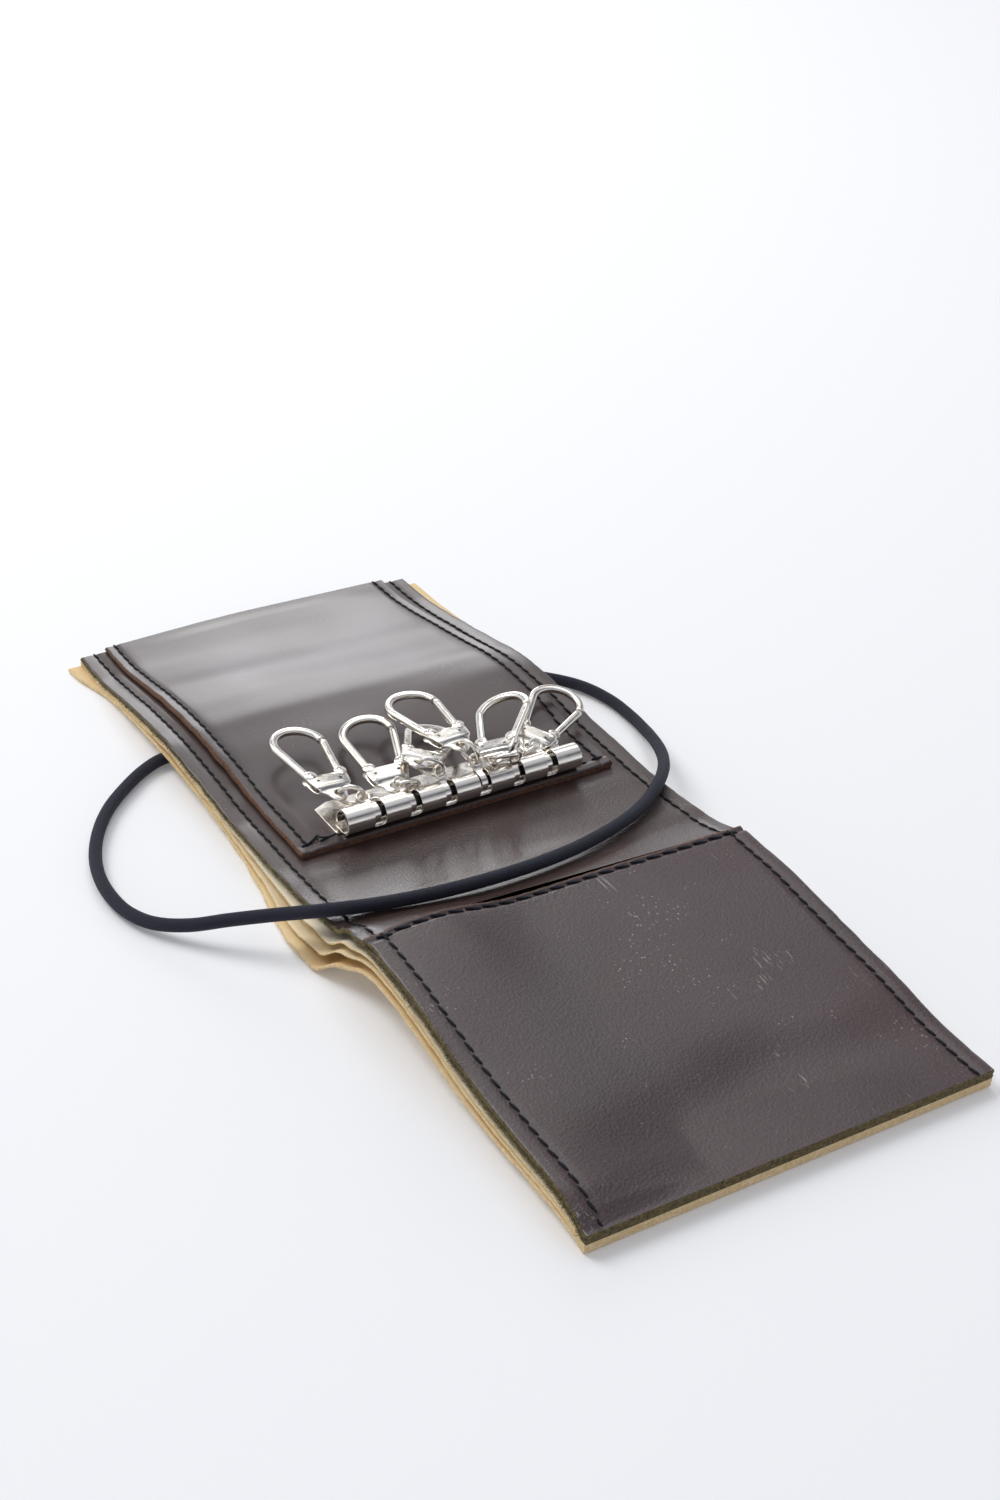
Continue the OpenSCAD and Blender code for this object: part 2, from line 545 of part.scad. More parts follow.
// One stitch, lying on a surface whose height is over(y), along Y or across it
module stitch(x, y, over, across = false) {
    tilt = atan2(over(y + thread_w) - over(y - thread_w), 2 * thread_w);
    size = across ? [stitch_len, thread_w, thread_w / 2] : [thread_w, stitch_len, thread_w / 2];
    translate([x, y, over(y) + 3 * seam]) rotate([tilt, 0, 0])
        translate([-size[0] / 2, -size[1] / 2, 0]) cube(size);
}
module long_seam(from, to, x, over) {
    count = floor((to - from) / stitch_pitch);
    for (side = [-1, 1], i = [0 : count - 1])
        stitch(side * x, from + (i + 0.5) * (to - from) / count, over);
}
module thread_back() {
    key_half = strip_w / 2 - key_panel_inset - key_seam_inset;
    near_y = y_key + key_seam_inset;
    // Where the flange is as wide as the panel's seams, they start past its far edge
    flange_reach = abs(bar_x) + bar_len / 2 + flange_out + thread_w;
    seam_start = key_half > flange_reach ? near_y + stitch_pitch / 2 : rod_y + flange_w + thread_w;
    count = floor(2 * key_half / stitch_pitch);
    color("#2d373e") {
        long_seam(panel_from("back"), y_far, strip_w / 2 - seam_inset, function(y) lining_top(y));
        long_seam(seam_start, y_far, key_half, function(y) key_top(y));
        // The near edge's stitches stop beside the bar
        for (i = [0 : count]) let (x = (i - count / 2) * 2 * key_half / count)
            if (abs(x - bar_x) > bar_len / 2 + flange_out + stitch_len)
                stitch(x, y_key + key_seam_inset, function(y) key_top(y), true);
    }
}
module thread_spine() {
    color("#2d373e")
        long_seam(panel_from("spine"), panel_to("spine"), strip_w / 2 - seam_inset,
            function(y) lining_top(y));
}
module thread_front() {
    mouth_half = strip_w / 2 - seam_inset;
    count = floor(2 * mouth_half / mouth_pitch);
    color("#2d373e") {
        long_seam(y_near, y_mouth - stitch_len, mouth_half, function(y) pocket_top(y));
        for (i = [1 : count - 1]) stitch((i - count / 2) * 2 * mouth_half / count,
            y_mouth - 2 * thread_w, function(y) pocket_top(y), true);
    }
}

cover("back");  // cover_back
cover("spine");  // cover_spine
cover("front");  // cover_front
interlining("back");  // interlining_back
interlining("spine");  // interlining_spine
interlining("front");  // interlining_front
backing("back");  // backing_back
backing("spine");  // backing_spine
backing("front");  // backing_front
lining("back");  // lining_back
lining("spine");  // lining_spine
lining("front");  // lining_front
key_panel();
slip_pocket();
bar_plate();
bar_rod();
bar_rivets();
rivet_washers();
elastic_loop();
elastic_clip();
thread_back();
thread_spine();
thread_front();
for (k = [1 : HOOKS]) {
    link(k);
    ring(k);
    hook(k);
    gate(k);
    gate_pin(k);
    gate_spring(k);
}
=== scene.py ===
# A leather key case lying open: a folded strip of several leathers, a pocket, six snap hooks on a key bar,
# and a round elastic that holds the case shut. Sizes are written in millimetres and turned to metres by MM.
from math import asin, atan2, cos, exp, hypot, pi, radians, sin, sqrt
import bmesh
import bpy
from mathutils import Matrix, Vector, noise


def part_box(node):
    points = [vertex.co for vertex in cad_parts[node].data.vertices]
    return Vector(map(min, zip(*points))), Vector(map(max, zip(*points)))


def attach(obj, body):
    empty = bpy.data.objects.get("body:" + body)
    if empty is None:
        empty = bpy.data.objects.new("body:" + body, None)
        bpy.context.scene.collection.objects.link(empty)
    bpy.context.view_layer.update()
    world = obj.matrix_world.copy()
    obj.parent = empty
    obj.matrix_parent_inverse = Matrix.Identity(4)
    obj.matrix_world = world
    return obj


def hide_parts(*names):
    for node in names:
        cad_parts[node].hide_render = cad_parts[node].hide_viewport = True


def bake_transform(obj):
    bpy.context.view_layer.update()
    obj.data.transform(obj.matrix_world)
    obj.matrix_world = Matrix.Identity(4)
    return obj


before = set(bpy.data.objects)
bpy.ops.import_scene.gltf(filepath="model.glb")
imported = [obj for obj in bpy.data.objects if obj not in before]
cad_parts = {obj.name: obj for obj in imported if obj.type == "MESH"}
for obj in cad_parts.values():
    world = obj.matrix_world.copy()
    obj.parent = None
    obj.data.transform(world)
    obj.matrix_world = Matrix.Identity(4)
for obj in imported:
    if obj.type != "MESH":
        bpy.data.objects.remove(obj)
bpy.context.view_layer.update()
MM = 0.001


# Camera. The photograph was taken from the left of the near end, looking along the strip and down on it.
camera_place = Vector((-204, -300.8, 254.4)) * MM
camera_down, camera_right, camera_roll = radians(32.12), radians(34.76), radians(4.44)
camera_data = bpy.data.cameras.new("camera")
camera_data.lens = 47.57
camera_data.sensor_width = 36
camera_data.clip_start = 0.01


def placed(name, data):
    made = bpy.data.objects.new(name, data)
    bpy.context.scene.collection.objects.link(made)
    return made


camera = placed("camera", camera_data)
camera.matrix_world = (Matrix.Translation(camera_place) @ Matrix.Rotation(-camera_right, 4, "Z")
    @ Matrix.Rotation(pi / 2 - camera_down, 4, "X") @ Matrix.Rotation(camera_roll, 4, "Z"))
bpy.context.scene.camera = camera
bpy.context.scene.view_settings.view_transform = "Standard"


# Elastic loop: a round cord of rubber threads in a braided textile cover. Both ends go into a metal clip
# that is riveted under the back part, and the loop comes up over the spine, where it holds the case shut.
def linear(hex_colour):
    channels = [int(hex_colour[i:i + 2], 16) / 255 for i in (1, 3, 5)]
    return [c / 12.92 if c <= 0.04045 else ((c + 0.055) / 1.055) ** 2.4 for c in channels] + [1]


def join(tree, node, **links):
    """Sets a node's sockets, by name or _number, to a value, another socket or a node's first output."""
    for key, value in links.items():
        socket = node.inputs[int(key[1:])] if key[0] == "_" else node.inputs[key.replace("_", " ")]
        if isinstance(value, bpy.types.Node):
            value = value.outputs[0]
        if isinstance(value, bpy.types.NodeSocket):
            tree.links.new(value, socket)
        else:
            socket.default_value = value


def add(tree, kind, settings=None, stops=(), **links):
    """Adds a node. settings are its properties, and stops the (place, colour) pairs of a colour ramp."""
    node = tree.nodes.new(kind)
    for key, value in (settings or {}).items():
        setattr(node, key, value)
    if stops:
        elements = node.color_ramp.elements
        while len(elements) < len(stops):
            elements.new(0.5)
        for element, (place, colour) in zip(elements, stops):
            element.position = place
            element.color = linear(colour)
    join(tree, node, **links)
    return node


def material(name, **sockets):
    """A new material with its tree and its Principled shader, whose sockets are set."""
    made = bpy.data.materials.new(name)
    made.use_nodes = True
    shader = made.node_tree.nodes["Principled BSDF"]
    join(made.node_tree, shader, **sockets)
    return made, made.node_tree, shader


def formed(name, build):
    """An object that has the mesh in bmesh build, with every face turned outwards."""
    mesh = bpy.data.meshes.new(name)
    bmesh.ops.recalc_face_normals(build, faces=build.faces)
    build.to_mesh(mesh)
    build.free()
    return placed(name, mesh)


def piece(name, build, body, materials, *replaced, slot):
    """Turns a bmesh in metres into an object that rides on body and stands for the replaced CAD nodes."""
    made = formed(name, build)
    for one in materials:
        made.data.materials.append(one)
    if body:
        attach(made, body)
    if replaced:
        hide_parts(*replaced)
    return made


def smooth_route(points, steps):
    """A Catmull-Rom curve through the points, with steps places in each stretch."""
    route = []
    ends = [2 * points[0] - points[1]] + points + [2 * points[-1] - points[-2]]
    for i in range(1, len(ends) - 2):
        a, b, c, d = ends[i - 1:i + 3]
        for j in range(steps):
            t = j / steps
            route.append(0.5 * (2 * b + (c - a) * t + (2 * a - 5 * b + 4 * c - d) * t * t
                + (3 * b - a - 3 * c + d) * t ** 3))
    return route + [points[-1]]


def sweep(build, route, width, depth, sides=16, squareness=2.0, cap=0.3, up=Vector((0, 0, 1))):
    """A bar of rounded section swept along route, in bmesh build. Its ends are rounded, and it gets UVs
    with U round the section and V along the route in units of the width."""
    section = []
    for j in range(sides):
        angle = 2 * pi * j / sides
        u, v = cos(angle), sin(angle)
        section.append((abs(u) ** (2 / squareness) * (1 if u > 0 else -1) * width / 2,
            abs(v) ** (2 / squareness) * (1 if v > 0 else -1) * depth / 2))
    rings, lengths, run = [], [], 0
    for i, place in enumerate(route):
        along = (route[min(i + 1, len(route) - 1)] - route[max(i - 1, 0)]).normalized()
        side = along.cross(up).normalized()
        over = side.cross(along)
        run += (place - route[i - 1]).length if i else 0
        shapes = [(0, 1)]
        if i == 0:
            shapes = [(-cap, 0.55), (-cap * 0.6, 0.86), (0, 1)]
        if i == len(route) - 1:
            shapes = [(0, 1), (cap * 0.6, 0.86), (cap, 0.55)]
        for push, scale in shapes:
            rings.append([build.verts.new(place + along * push + side * x * scale + over * z * scale)
                for x, z in section])
            lengths.append(run + push)
    uv = build.loops.layers.uv.get("UVMap") or build.loops.layers.uv.new("UVMap")
    for i in range(len(rings) - 1):
        for j in range(sides):
            k = (j + 1) % sides
            face = build.faces.new([rings[i][j], rings[i][k], rings[i + 1][k], rings[i + 1][j]])
            face.smooth = True
            corners = [(j, i), (j + 1, i), (j + 1, i + 1), (j, i + 1)]
            for loop, (a, b) in zip(face.loops, corners):
                loop[uv].uv = (a / sides, lengths[b] / width)
    build.faces.new(rings[0]).smooth = True
    build.faces.new(list(reversed(rings[-1]))).smooth = True
    return run


elastic_width = 2.9
elastic_points = [(-4, 58, 1.6), (-12, 58.3, 1.6), (-22, 60, 1.6), (-32, 61.8, 1.6), (-41, 62.5, 1.6),
    (-47.9, 62, 1.6), (-54, 59.1, 1.6), (-60.2, 54.5, 1.6), (-66.2, 49, 1.6), (-71.1, 42.8, 1.6),
    (-75.1, 35.8, 1.6), (-77.9, 28.2, 1.6), (-79.1, 20.2, 1.6), (-78.4, 12, 1.6), (-75.4, 4.8, 2.2),
    (-70, -1.2, 3.8), (-63.3, -6.2, 6.2), (-55.4, -11.6, 8.4), (-47.2, -17.6, 10.7), (-36, -20.3, 10.4),
    (-25.2, -22.6, 10.7), (-14.4, -23.9, 11), (-2.8, -24.2, 11.1), (8.3, -23.1, 10.8),
    (17.6, -21, 10.4), (25.2, -18.7, 10.1), (31.8, -15.9, 9.7), (37.6, -12.6, 9.3), (42.8, -9, 9.4),
    (48.1, -4.1, 8.5), (52.8, 1.6, 7), (56.4, 7.4, 5.5), (59.4, 13.6, 3.9), (61.8, 20.7, 2.5),
    (63.3, 28.5, 1.7), (63.3, 37, 1.6), (61, 45.7, 1.6), (56, 52.8, 1.6), (49, 58.6, 1.6),
    (41, 61.3, 1.6), (32, 61.8, 1.6), (22, 60.2, 1.6), (12, 58.4, 1.6), (4, 58, 1.6)]

# Braided polyester cover over rubber: a fine criss-cross of yarn bundles, matt with a faint sheen
braid, tree, shader = material("braided polyester over rubber", Roughness=0.75, Sheen_Weight=0.08,
    Sheen_Roughness=0.4, Specular_IOR_Level=0.3)
turns = add(tree, "ShaderNodeSeparateXYZ", _0=add(tree, "ShaderNodeUVMap", {"uv_map": "UVMap"}))
yarns_round = 18
yarns = []
for lean_way in (-1, 1):
    # A yarn goes once round the cord in about two widths
    twist = add(tree, "ShaderNodeMath", {"operation": "MULTIPLY"}, _0=turns.outputs[1],
        _1=lean_way * 0.5 * yarns_round)
    wind = add(tree, "ShaderNodeMath", {"operation": "MULTIPLY_ADD"}, _0=turns, _1=float(yarns_round),
        _2=twist)
    angle = add(tree, "ShaderNodeMath", {"operation": "MULTIPLY"}, _0=wind, _1=2 * pi)
    yarns.append(add(tree, "ShaderNodeMath", {"operation": "SINE"}, _0=angle))
weave = add(tree, "ShaderNodeMath", {"operation": "MAXIMUM"}, _0=yarns[0], _1=yarns[1])
# The colour follows the weave's height. It is partly the yarns' dark navy and partly painted shade in the
# hollows between the yarns, with the raised yarns painted lighter as if lit
join(tree, shader, Base_Color=add(tree, "ShaderNodeValToRGB", stops=[(0.1, "#0D0D15"), (0.95, "#363647")],
    _0=weave), Normal=add(tree, "ShaderNodeBump", Strength=0.8, Distance=0.00012, Height=weave))

elastic_route = smooth_route([Vector(p) * MM for p in elastic_points], 5)
elastic_mesh = bmesh.new()
elastic_length = sweep(elastic_mesh, elastic_route, elastic_width * MM, elastic_width * MM, 14, cap=0)
elastic = piece("elastic_loop_braided", elastic_mesh, None, [braid], "elastic_loop", slot="elastic")
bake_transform(elastic)


# The strip: an outer cover of undyed leather, a thin interlining, a thin split that backs the lining, and
# the glazed brown lining. They are stitched along the long edges only, so they fan out and buckle at the
# near fold. Each layer is cut to shape and is one piece; here it is two, which meet in mid-spine.
strip_w, front_len, spine_len, back_len = 95, 81.5, 38.5, 109
cover_t, interlining_t, backing_t, lining_t = 0.9, 0.5, 0.5, 1.1
rise_h, fan_h, apart = 6, 3, 0.05
cover_flare, interlining_flare, backing_flare = 5.5, 3.5, 1.8
y_near = -(front_len + spine_len + back_len) / 2
y_mouth = y_near + front_len
y_key = y_mouth + spine_len
y_far = -y_near
fold_front_y, fold_back_y, mid_spine_y = y_mouth + 2, y_key - 5.5, -15.5
near_skew, far_skew, buckle_h = 2.2, 3, 1.5

# Heights at chosen stations (0 near end, 1 pocket mouth, 2 key panel, 3 far end), as in the solids
rise_shares = [(0, 0), (0.14, 0.1), (0.26, 0.18), (0.39, 0.23), (0.51, 0.33), (0.63, 0.53),
    (0.75, 0.78), (0.85, 0.95), (0.94, 1), (1, 0.88), (1.1, 0.57), (1.21, 0.18), (1.31, 0),
    (2.16, 0), (2.22, 0.2), (2.29, 0.42), (2.37, 0.53), (2.47, 0.57), (2.56, 0.52), (2.67, 0.4),
    (2.77, 0.22), (2.88, 0.05), (3, 0)]
low_gap_shares = [(0, 0), (0.14, 0.07), (0.26, 0.14), (0.39, 0.3), (0.51, 0.43), (0.75, 0.53),
    (1, 0.57), (1.1, 0.63), (1.21, 0.8), (1.31, 0.7), (1.52, 0.3), (1.78, 0.17), (2, 0.27),
    (2.16, 0.27), (2.22, 0.45), (2.37, 0.57), (2.47, 0.6), (2.56, 0.37), (2.67, 0.12), (3, 0)]
mid_gap_shares = [(0, 0), (0.14, 0.08), (0.39, 0.23), (0.85, 0.25), (1, 0.4), (1.21, 0.47),
    (1.31, 0.57), (1.52, 0.77), (1.78, 0.75), (2, 0.5), (2.16, 0.5), (2.22, 0.27), (2.37, 0.08),
    (2.47, 0.04), (2.6, 0.07), (2.77, 0.03), (3, 0)]
top_gap_shares = [(0, 0), (0.14, 0.08), (0.39, 0.25), (0.63, 0.3), (0.94, 0.17), (1, 0.3),
    (1.1, 0.43), (1.31, 0.6), (1.52, 0.4), (1.78, 0.3), (2, 0.32), (2.16, 0.32), (2.37, 0.08),
    (2.6, 0.07), (2.77, 0.03), (3, 0)]
flare_shares = [(0.9, 0), (1, 0.1), (1.3, 0.9), (1.5, 1), (1.78, 0.78), (2, 0.45), (2.16, 0.06),
    (2.3, 0)]
# How much higher the brown leather lies at the left and the right edge than the even curve, in mm at Y
left_lift = [(-114.5, 1.1), (-105, 1.9), (-92, 1), (-80, 0.5), (-70, 0.4), (-55, 0.8), (-45, 0.9),
    (-33, 1), (-28, 0.9), (-22, 0.3), (-10, 0), (5, -0.3), (22, -0.6), (32, -1.7), (45, -1.8),
    (57, -1.4), (70, -0.8), (90, -0.5), (114.5, 0)]
right_lift = [(-114.5, 0), (-108, -0.7), (-103, -1.3), (-98, -1.6), (-87, -0.8), (-79, -0.5),
    (-69, -0.5), (-58, -1), (-50, -1.3), (-40, -1.7), (-29, -1.3), (-21, -0.7), (-8, -0.1), (0, 0.2),
    (12, 1.2), (27, 1.6), (46, 1.4), (55, 1.1), (66, 0.5), (78, 0), (91, -0.3), (114.5, 0)]


def share(table, at):
    """Smooth curve through a table of (place, share) pairs that never overshoots them."""
    at = min(max(at, table[0][0]), table[-1][0])
    i = max(k for k in range(len(table) - 1) if k == 0 or table[k][0] <= at)

    def chord(k):
        return (table[k + 1][1] - table[k][1]) / (table[k + 1][0] - table[k][0])

    def slope(k):
        if k <= 0 or k >= len(table) - 1 or chord(k - 1) * chord(k) <= 0:
            return 0
        return 2 * chord(k - 1) * chord(k) / (chord(k - 1) + chord(k))

    width = table[i + 1][0] - table[i][0]
    t = (at - table[i][0]) / width
    return (table[i][1] * (1 + 2 * t) * (1 - t) ** 2 + table[i + 1][1] * t * t * (3 - 2 * t)
        + slope(i) * width * t * (1 - t) ** 2 - slope(i + 1) * width * t * t * (1 - t))


def station(y):
    if y < y_mouth:
        return (y - y_near) / front_len
    return 1 + (y - y_mouth) / spine_len if y < y_key else 2 + (y - y_key) / back_len


def ease(t):
    t = min(max(t, 0), 1)
    return t * t * (3 - 2 * t)


def hump(x, y, centre_x, centre_y, reach_x, reach_y):
    return exp(-((x - centre_x) / reach_x) ** 2 - ((y - centre_y) / reach_y) ** 2)


def lift(x, y):
    """Side-to-side lie of the leather, which is level under the key bar. In the front part it turns
    over from the right edge's height to the left edge's, and behind that each edge has its own."""
    near = 1 - ease((y + 30) / 25)
    under_bar = ease(y / 3) * (1 - ease((y - 22) / 14))
    start = 12 + 21 * under_bar
    left = ease((-x - start) / (strip_w / 2 - start))
    right = near * (1 - left) + (1 - near) * ease((x - start) / (strip_w / 2 - start))
    clear_of_hooks = 1 - ease((y + 4) / 6) * (1 - ease((y - 38) / 14))
    waves = 0.35 * sin(x / 17 + y / 23) * sin(y / 11 + 1) * clear_of_hooks * ease((abs(y) - 5) / 20)
    return share(left_lift, y) * left + share(right_lift, y) * right + waves


def layers(x, y):
    """Undersides of the cover, interlining, backing and lining. All the slack between them and under
    them grows or shrinks together where the brown leather lies higher or lower."""
    at = station(y)
    gaps = [rise_h * share(rise_shares, at), fan_h * share(low_gap_shares, at),
        fan_h * share(mid_gap_shares, at), fan_h * share(top_gap_shares, at)]
    slack = sum(gaps)
    fullness = max(0, (slack + lift(x, y)) / slack) if slack > 0.05 else 1
    # The cover buckles sharply at the left edge beside the near fold
    buckle = hump(0, y, 0, y_mouth + 6.5, 1, 2.6) + 0.3 * hump(0, y, 0, y_mouth + 17, 1, 3)
    cover = gaps[0] * fullness + buckle_h * ease((-x - 36) / 14) * buckle
    interlining = cover + cover_t + apart + gaps[1] * fullness
    backing = interlining + interlining_t + apart + gaps[2] * fullness
    return cover, interlining, backing, backing + backing_t + apart + gaps[3] * fullness


def slid(x, y):
    """Both ends are cut a little askew: the left corners are 2 and 3 mm shorter than the right ones."""
    return (y + near_skew * (0.5 - x / strip_w) * ease((y_near + 20 - y) / 20)
        - far_skew * ease((2 - x) / 55) * ease((y - y_far + 25) / 25))


def slab(build, xs, ys, under, thickness, edge_round=0.35, relief=None):
    """A sheet of leather or metal over a grid: xs(y) gives its places across at each y, under(x, y) its
    lower face, and relief(x, y) how deep its upper face is pressed. Its long edges are rounded and take
    material 1. thickness is a number or depends on the place too. All in millimetres."""
    rings = []
    for y in ys:
        row = xs(y)
        depths = [thickness(x, y) if callable(thickness) else thickness for x in row]
        r = edge_round * depths[0]
        low = [Vector((x, slid(x, y), under(x, y))) for x in row]
        high = [p + Vector((0, 0, t - (relief(p.x, y) if relief else 0))) for p, t in zip(low, depths)]
        left_edge = [low[0] + Vector((0, 0, r)), high[0] - Vector((0, 0, r))]
        right_edge = [low[-1] + Vector((0, 0, r)), high[-1] - Vector((0, 0, r))]
        for p, move in ((low[0], 1), (high[0], 1), (low[-1], -1), (high[-1], -1)):
            p.x += move * r * 0.7
        ring = low + right_edge + list(reversed(high)) + list(reversed(left_edge))
        rings.append([build.verts.new(p * MM) for p in ring])
    count, wide = len(rings[0]), len(xs(ys[0]))
    edge = set(range(wide - 1, wide + 2)) | set(range(count - 3, count))
    for i in range(len(rings) - 1):
        for j in range(count):
            k = (j + 1) % count
            face = build.faces.new([rings[i][j], rings[i][k], rings[i + 1][k], rings[i + 1][j]])
            face.smooth = True
            face.material_index = 1 if j in edge else 0
    for cap in (build.faces.new(list(reversed(rings[0]))), build.faces.new(rings[-1])):
        cap.material_index = 1
        for line in cap.edges:
            line.smooth = False


def spread(from_y, to_y, step):
    count = max(2, round((to_y - from_y) / step))
    return [from_y + (to_y - from_y) * i / count for i in range(count + 1)]


def ragged(y, side, seed):
    """A hand-cut edge wanders by a few tenths of a millimetre."""
    slow, quick = Vector((y / 5, side * 7, seed)), Vector((y / 1.3, side, seed))
    return 0.22 * noise.noise(slow) + 0.1 * noise.noise(quick)


def across(flare, seed, inset=0, far_left=0, far_right=0):
    """Places across a layer: close together near the edges, where the seams draw it down. At the far
    end the layer spreads by far_left and far_right."""
    shares = [0, 0.008, 0.025, 0.034, 0.042, 0.05, 0.075, 0.11, 0.16, 0.22, 0.28, 0.34, 0.4, 0.46, 0.5]
    shares = shares + [1 - s for s in reversed(shares[:-1])]

    def row(y):
        half = strip_w / 2 - inset + flare * share(flare_shares, station(y))
        left = -half + ragged(y, -1, seed) - far_left * ease((y - 92) / 23)
        right = half + ragged(y, 1, seed) + far_right * ease((y - 55) / 45)
        return [left + (right - left) * s for s in shares]
    return row


# Undyed vegetable-tanned leather: pale tan, with fibres and faint stains, matt, darker where it was handled
def natural_leather(name, pale, dark, fibre):
    made, tree, shader = material(name, Roughness=0.68, Specular_IOR_Level=0.35)
    place = add(tree, "ShaderNodeTexCoord").outputs["Object"]
    stain = add(tree, "ShaderNodeTexNoise", Vector=place, Scale=45.0, Detail=4.0, Roughness=0.6)
    # Fibres run along the strip, 0.3 mm wide and a few millimetres long
    stretched = add(tree, "ShaderNodeMapping", Vector=place, Scale=(1, 0.12, 1))
    fibres = add(tree, "ShaderNodeTexNoise", Vector=stretched, Scale=fibre, Detail=5.0)
    tone = add(tree, "ShaderNodeValToRGB", stops=[(0.3, dark), (0.62, pale)], _0=stain)
    join(tree, shader, Base_Color=tone,
        Normal=add(tree, "ShaderNodeBump", Strength=0.5, Distance=0.00012, Height=fibres))
    return made


cover_leather = natural_leather("undyed cowhide", "#F2D8A6", "#E3BD84", 2600.0)
layer_leather = natural_leather("undyed calf interlining", "#F3E0BA", "#E6C998", 3200.0)
split_leather = natural_leather("undyed split", "#F5E9CC", "#E8D5AE", 1800.0)


def fine_relief(tree, shader, scale, detail, strength, depth, roughness=0.5):
    """A fine uneven surface, and the noise that makes it."""
    place = add(tree, "ShaderNodeTexCoord").outputs["Object"]
    uneven = add(tree, "ShaderNodeTexNoise", Vector=place, Scale=scale, Detail=detail, Roughness=roughness)
    join(tree, shader, Normal=add(tree, "ShaderNodeBump", Strength=strength, Distance=depth, Height=uneven))
    return uneven


# Cut edges. The brown leather's core is olive and its raw edge is furry; the pale layers' edges are browned
def cut_edge(name, light, dark, fur):
    made, tree, shader = material(name, Roughness=0.85, Specular_IOR_Level=0.2)
    tufts = fine_relief(tree, shader, 1400.0, 6.0, 1.0, fur, 0.75)
    tone = add(tree, "ShaderNodeValToRGB", stops=[(0.35, dark), (0.65, light)], _0=tufts)
    join(tree, shader, Base_Color=tone)
    return made


brown_edge = cut_edge("raw edge of brown leather", "#857650", "#3E362A", 0.0004)
burnished_edge = cut_edge("burnished edge of brown leather", "#7E5D4A", "#543C31", 0.0001)
pale_edge = cut_edge("browned edge of undyed leather", "#F7E2B8", "#DDBA84", 0.0002)


# Brown chrome-tanned leather, glazed under a roller: a glossy film over a fine grain, with a pebbled, creased
# grain where it bends, fine pale scratches and a slow change of tone
def brown_leather(name, tone, shade, scratches):
    made, tree, shader = material(name, Roughness=0.42, Specular_IOR_Level=0.42, Coat_Weight=0.4,
        Coat_Roughness=0.2)
    place = add(tree, "ShaderNodeTexCoord").outputs["Object"]
    slow = add(tree, "ShaderNodeTexNoise", Vector=place, Scale=28.0, Detail=3.0)
    base = add(tree, "ShaderNodeValToRGB", stops=[(0.3, shade), (0.7, tone)], _0=slow)
    # Grain cells of about 0.6 mm, deep beside the folds and almost flat elsewhere
    along = add(tree, "ShaderNodeSeparateXYZ", _0=place).outputs[1]
    spine = add(tree, "ShaderNodeMapRange", {"interpolation_type": "SMOOTHSTEP"}, _0=along,
        _1=0.012, _2=-0.004, _3=0.0, _4=1.0)
    cells = add(tree, "ShaderNodeTexVoronoi", {"feature": "F1"}, Vector=place, Scale=1600.0)
    fine = add(tree, "ShaderNodeTexNoise", Vector=place, Scale=1500.0, Detail=3.0)
    creased = add(tree, "ShaderNodeTexNoise", Vector=place, Scale=160.0, Detail=4.0, Distortion=1.2)
    deep = add(tree, "ShaderNodeMath", {"operation": "MULTIPLY_ADD"}, _0=spine, _1=1.5, _2=0.12)
    grain = add(tree, "ShaderNodeMath", {"operation": "MULTIPLY"}, _0=cells, _1=deep)
    pores = add(tree, "ShaderNodeMath", {"operation": "MULTIPLY_ADD"}, _0=fine, _1=0.25, _2=grain)
    height = add(tree, "ShaderNodeMath", {"operation": "MULTIPLY_ADD"}, _0=creased, _1=0.55, _2=pores)
    # Scratches and scuffs, 0.1 mm wide and up to some millimetres long, in loose groups
    turned = add(tree, "ShaderNodeMapping", Vector=place, Rotation=(0, 0, radians(38)), Scale=(1, 0.08, 1))
    lines = add(tree, "ShaderNodeTexNoise", Vector=turned, Scale=2400.0, Detail=2.0)
    groups = add(tree, "ShaderNodeTexNoise", Vector=place, Scale=75.0, Detail=2.0)
    both = add(tree, "ShaderNodeMath", {"operation": "MULTIPLY"}, _0=lines, _1=groups)
    marks = add(tree, "ShaderNodeMapRange", _0=both, _1=0.43, _2=0.5, _3=0.0, _4=scratches)
    # Dust and chipped glaze: dots of 0.15 mm, thick in places
    dots = add(tree, "ShaderNodeTexVoronoi", {"feature": "F1"}, Vector=place, Scale=900.0)
    dot = add(tree, "ShaderNodeMapRange", _0=dots, _1=0.24, _2=0.12, _3=0.0, _4=1.0)
    crowd = add(tree, "ShaderNodeTexNoise", Vector=place, Scale=55.0, Detail=5.0, Roughness=0.7)
    thick = add(tree, "ShaderNodeMapRange", _0=crowd, _1=0.55, _2=0.66, _3=0.0, _4=scratches * 1.6)
    dust = add(tree, "ShaderNodeMath", {"operation": "MULTIPLY"}, _0=dot, _1=thick)
    worn = add(tree, "ShaderNodeMath", {"operation": "MAXIMUM"}, _0=marks, _1=dust)
    scuffed = add(tree, "ShaderNodeMix", {"data_type": "RGBA"}, _0=worn, _6=base, _7=linear("#B0A8A4"))
    join(tree, shader, Base_Color=scuffed.outputs[2],
        Roughness=add(tree, "ShaderNodeMapRange", _0=slow, _1=0.3, _2=0.7, _3=0.36, _4=0.48),
        Normal=add(tree, "ShaderNodeBump", Strength=0.32, Distance=0.0002, Height=height))
    return made


lining_leather = brown_leather("glazed brown lining leather", "#47352F", "#382925", 0.15)
panel_leather = brown_leather("glazed brown panel leather", "#463532", "#372926", 0.1)
pocket_leather = brown_leather("glazed brown pocket leather", "#4A3736", "#3B2C2A", 0.5)

row_step = 1.5
far_rows = spread(mid_spine_y, y_far, row_step)
near_rows = spread(y_near, mid_spine_y, row_step)
fold_back_blend = dict(start=(0, (fold_back_y + 5) * MM, 0), end=(0, (fold_back_y - 6) * MM, 0))
fold_front_blend = dict(start=(0, (fold_front_y + 5) * MM, 0), end=(0, (fold_front_y - 5) * MM, 0))


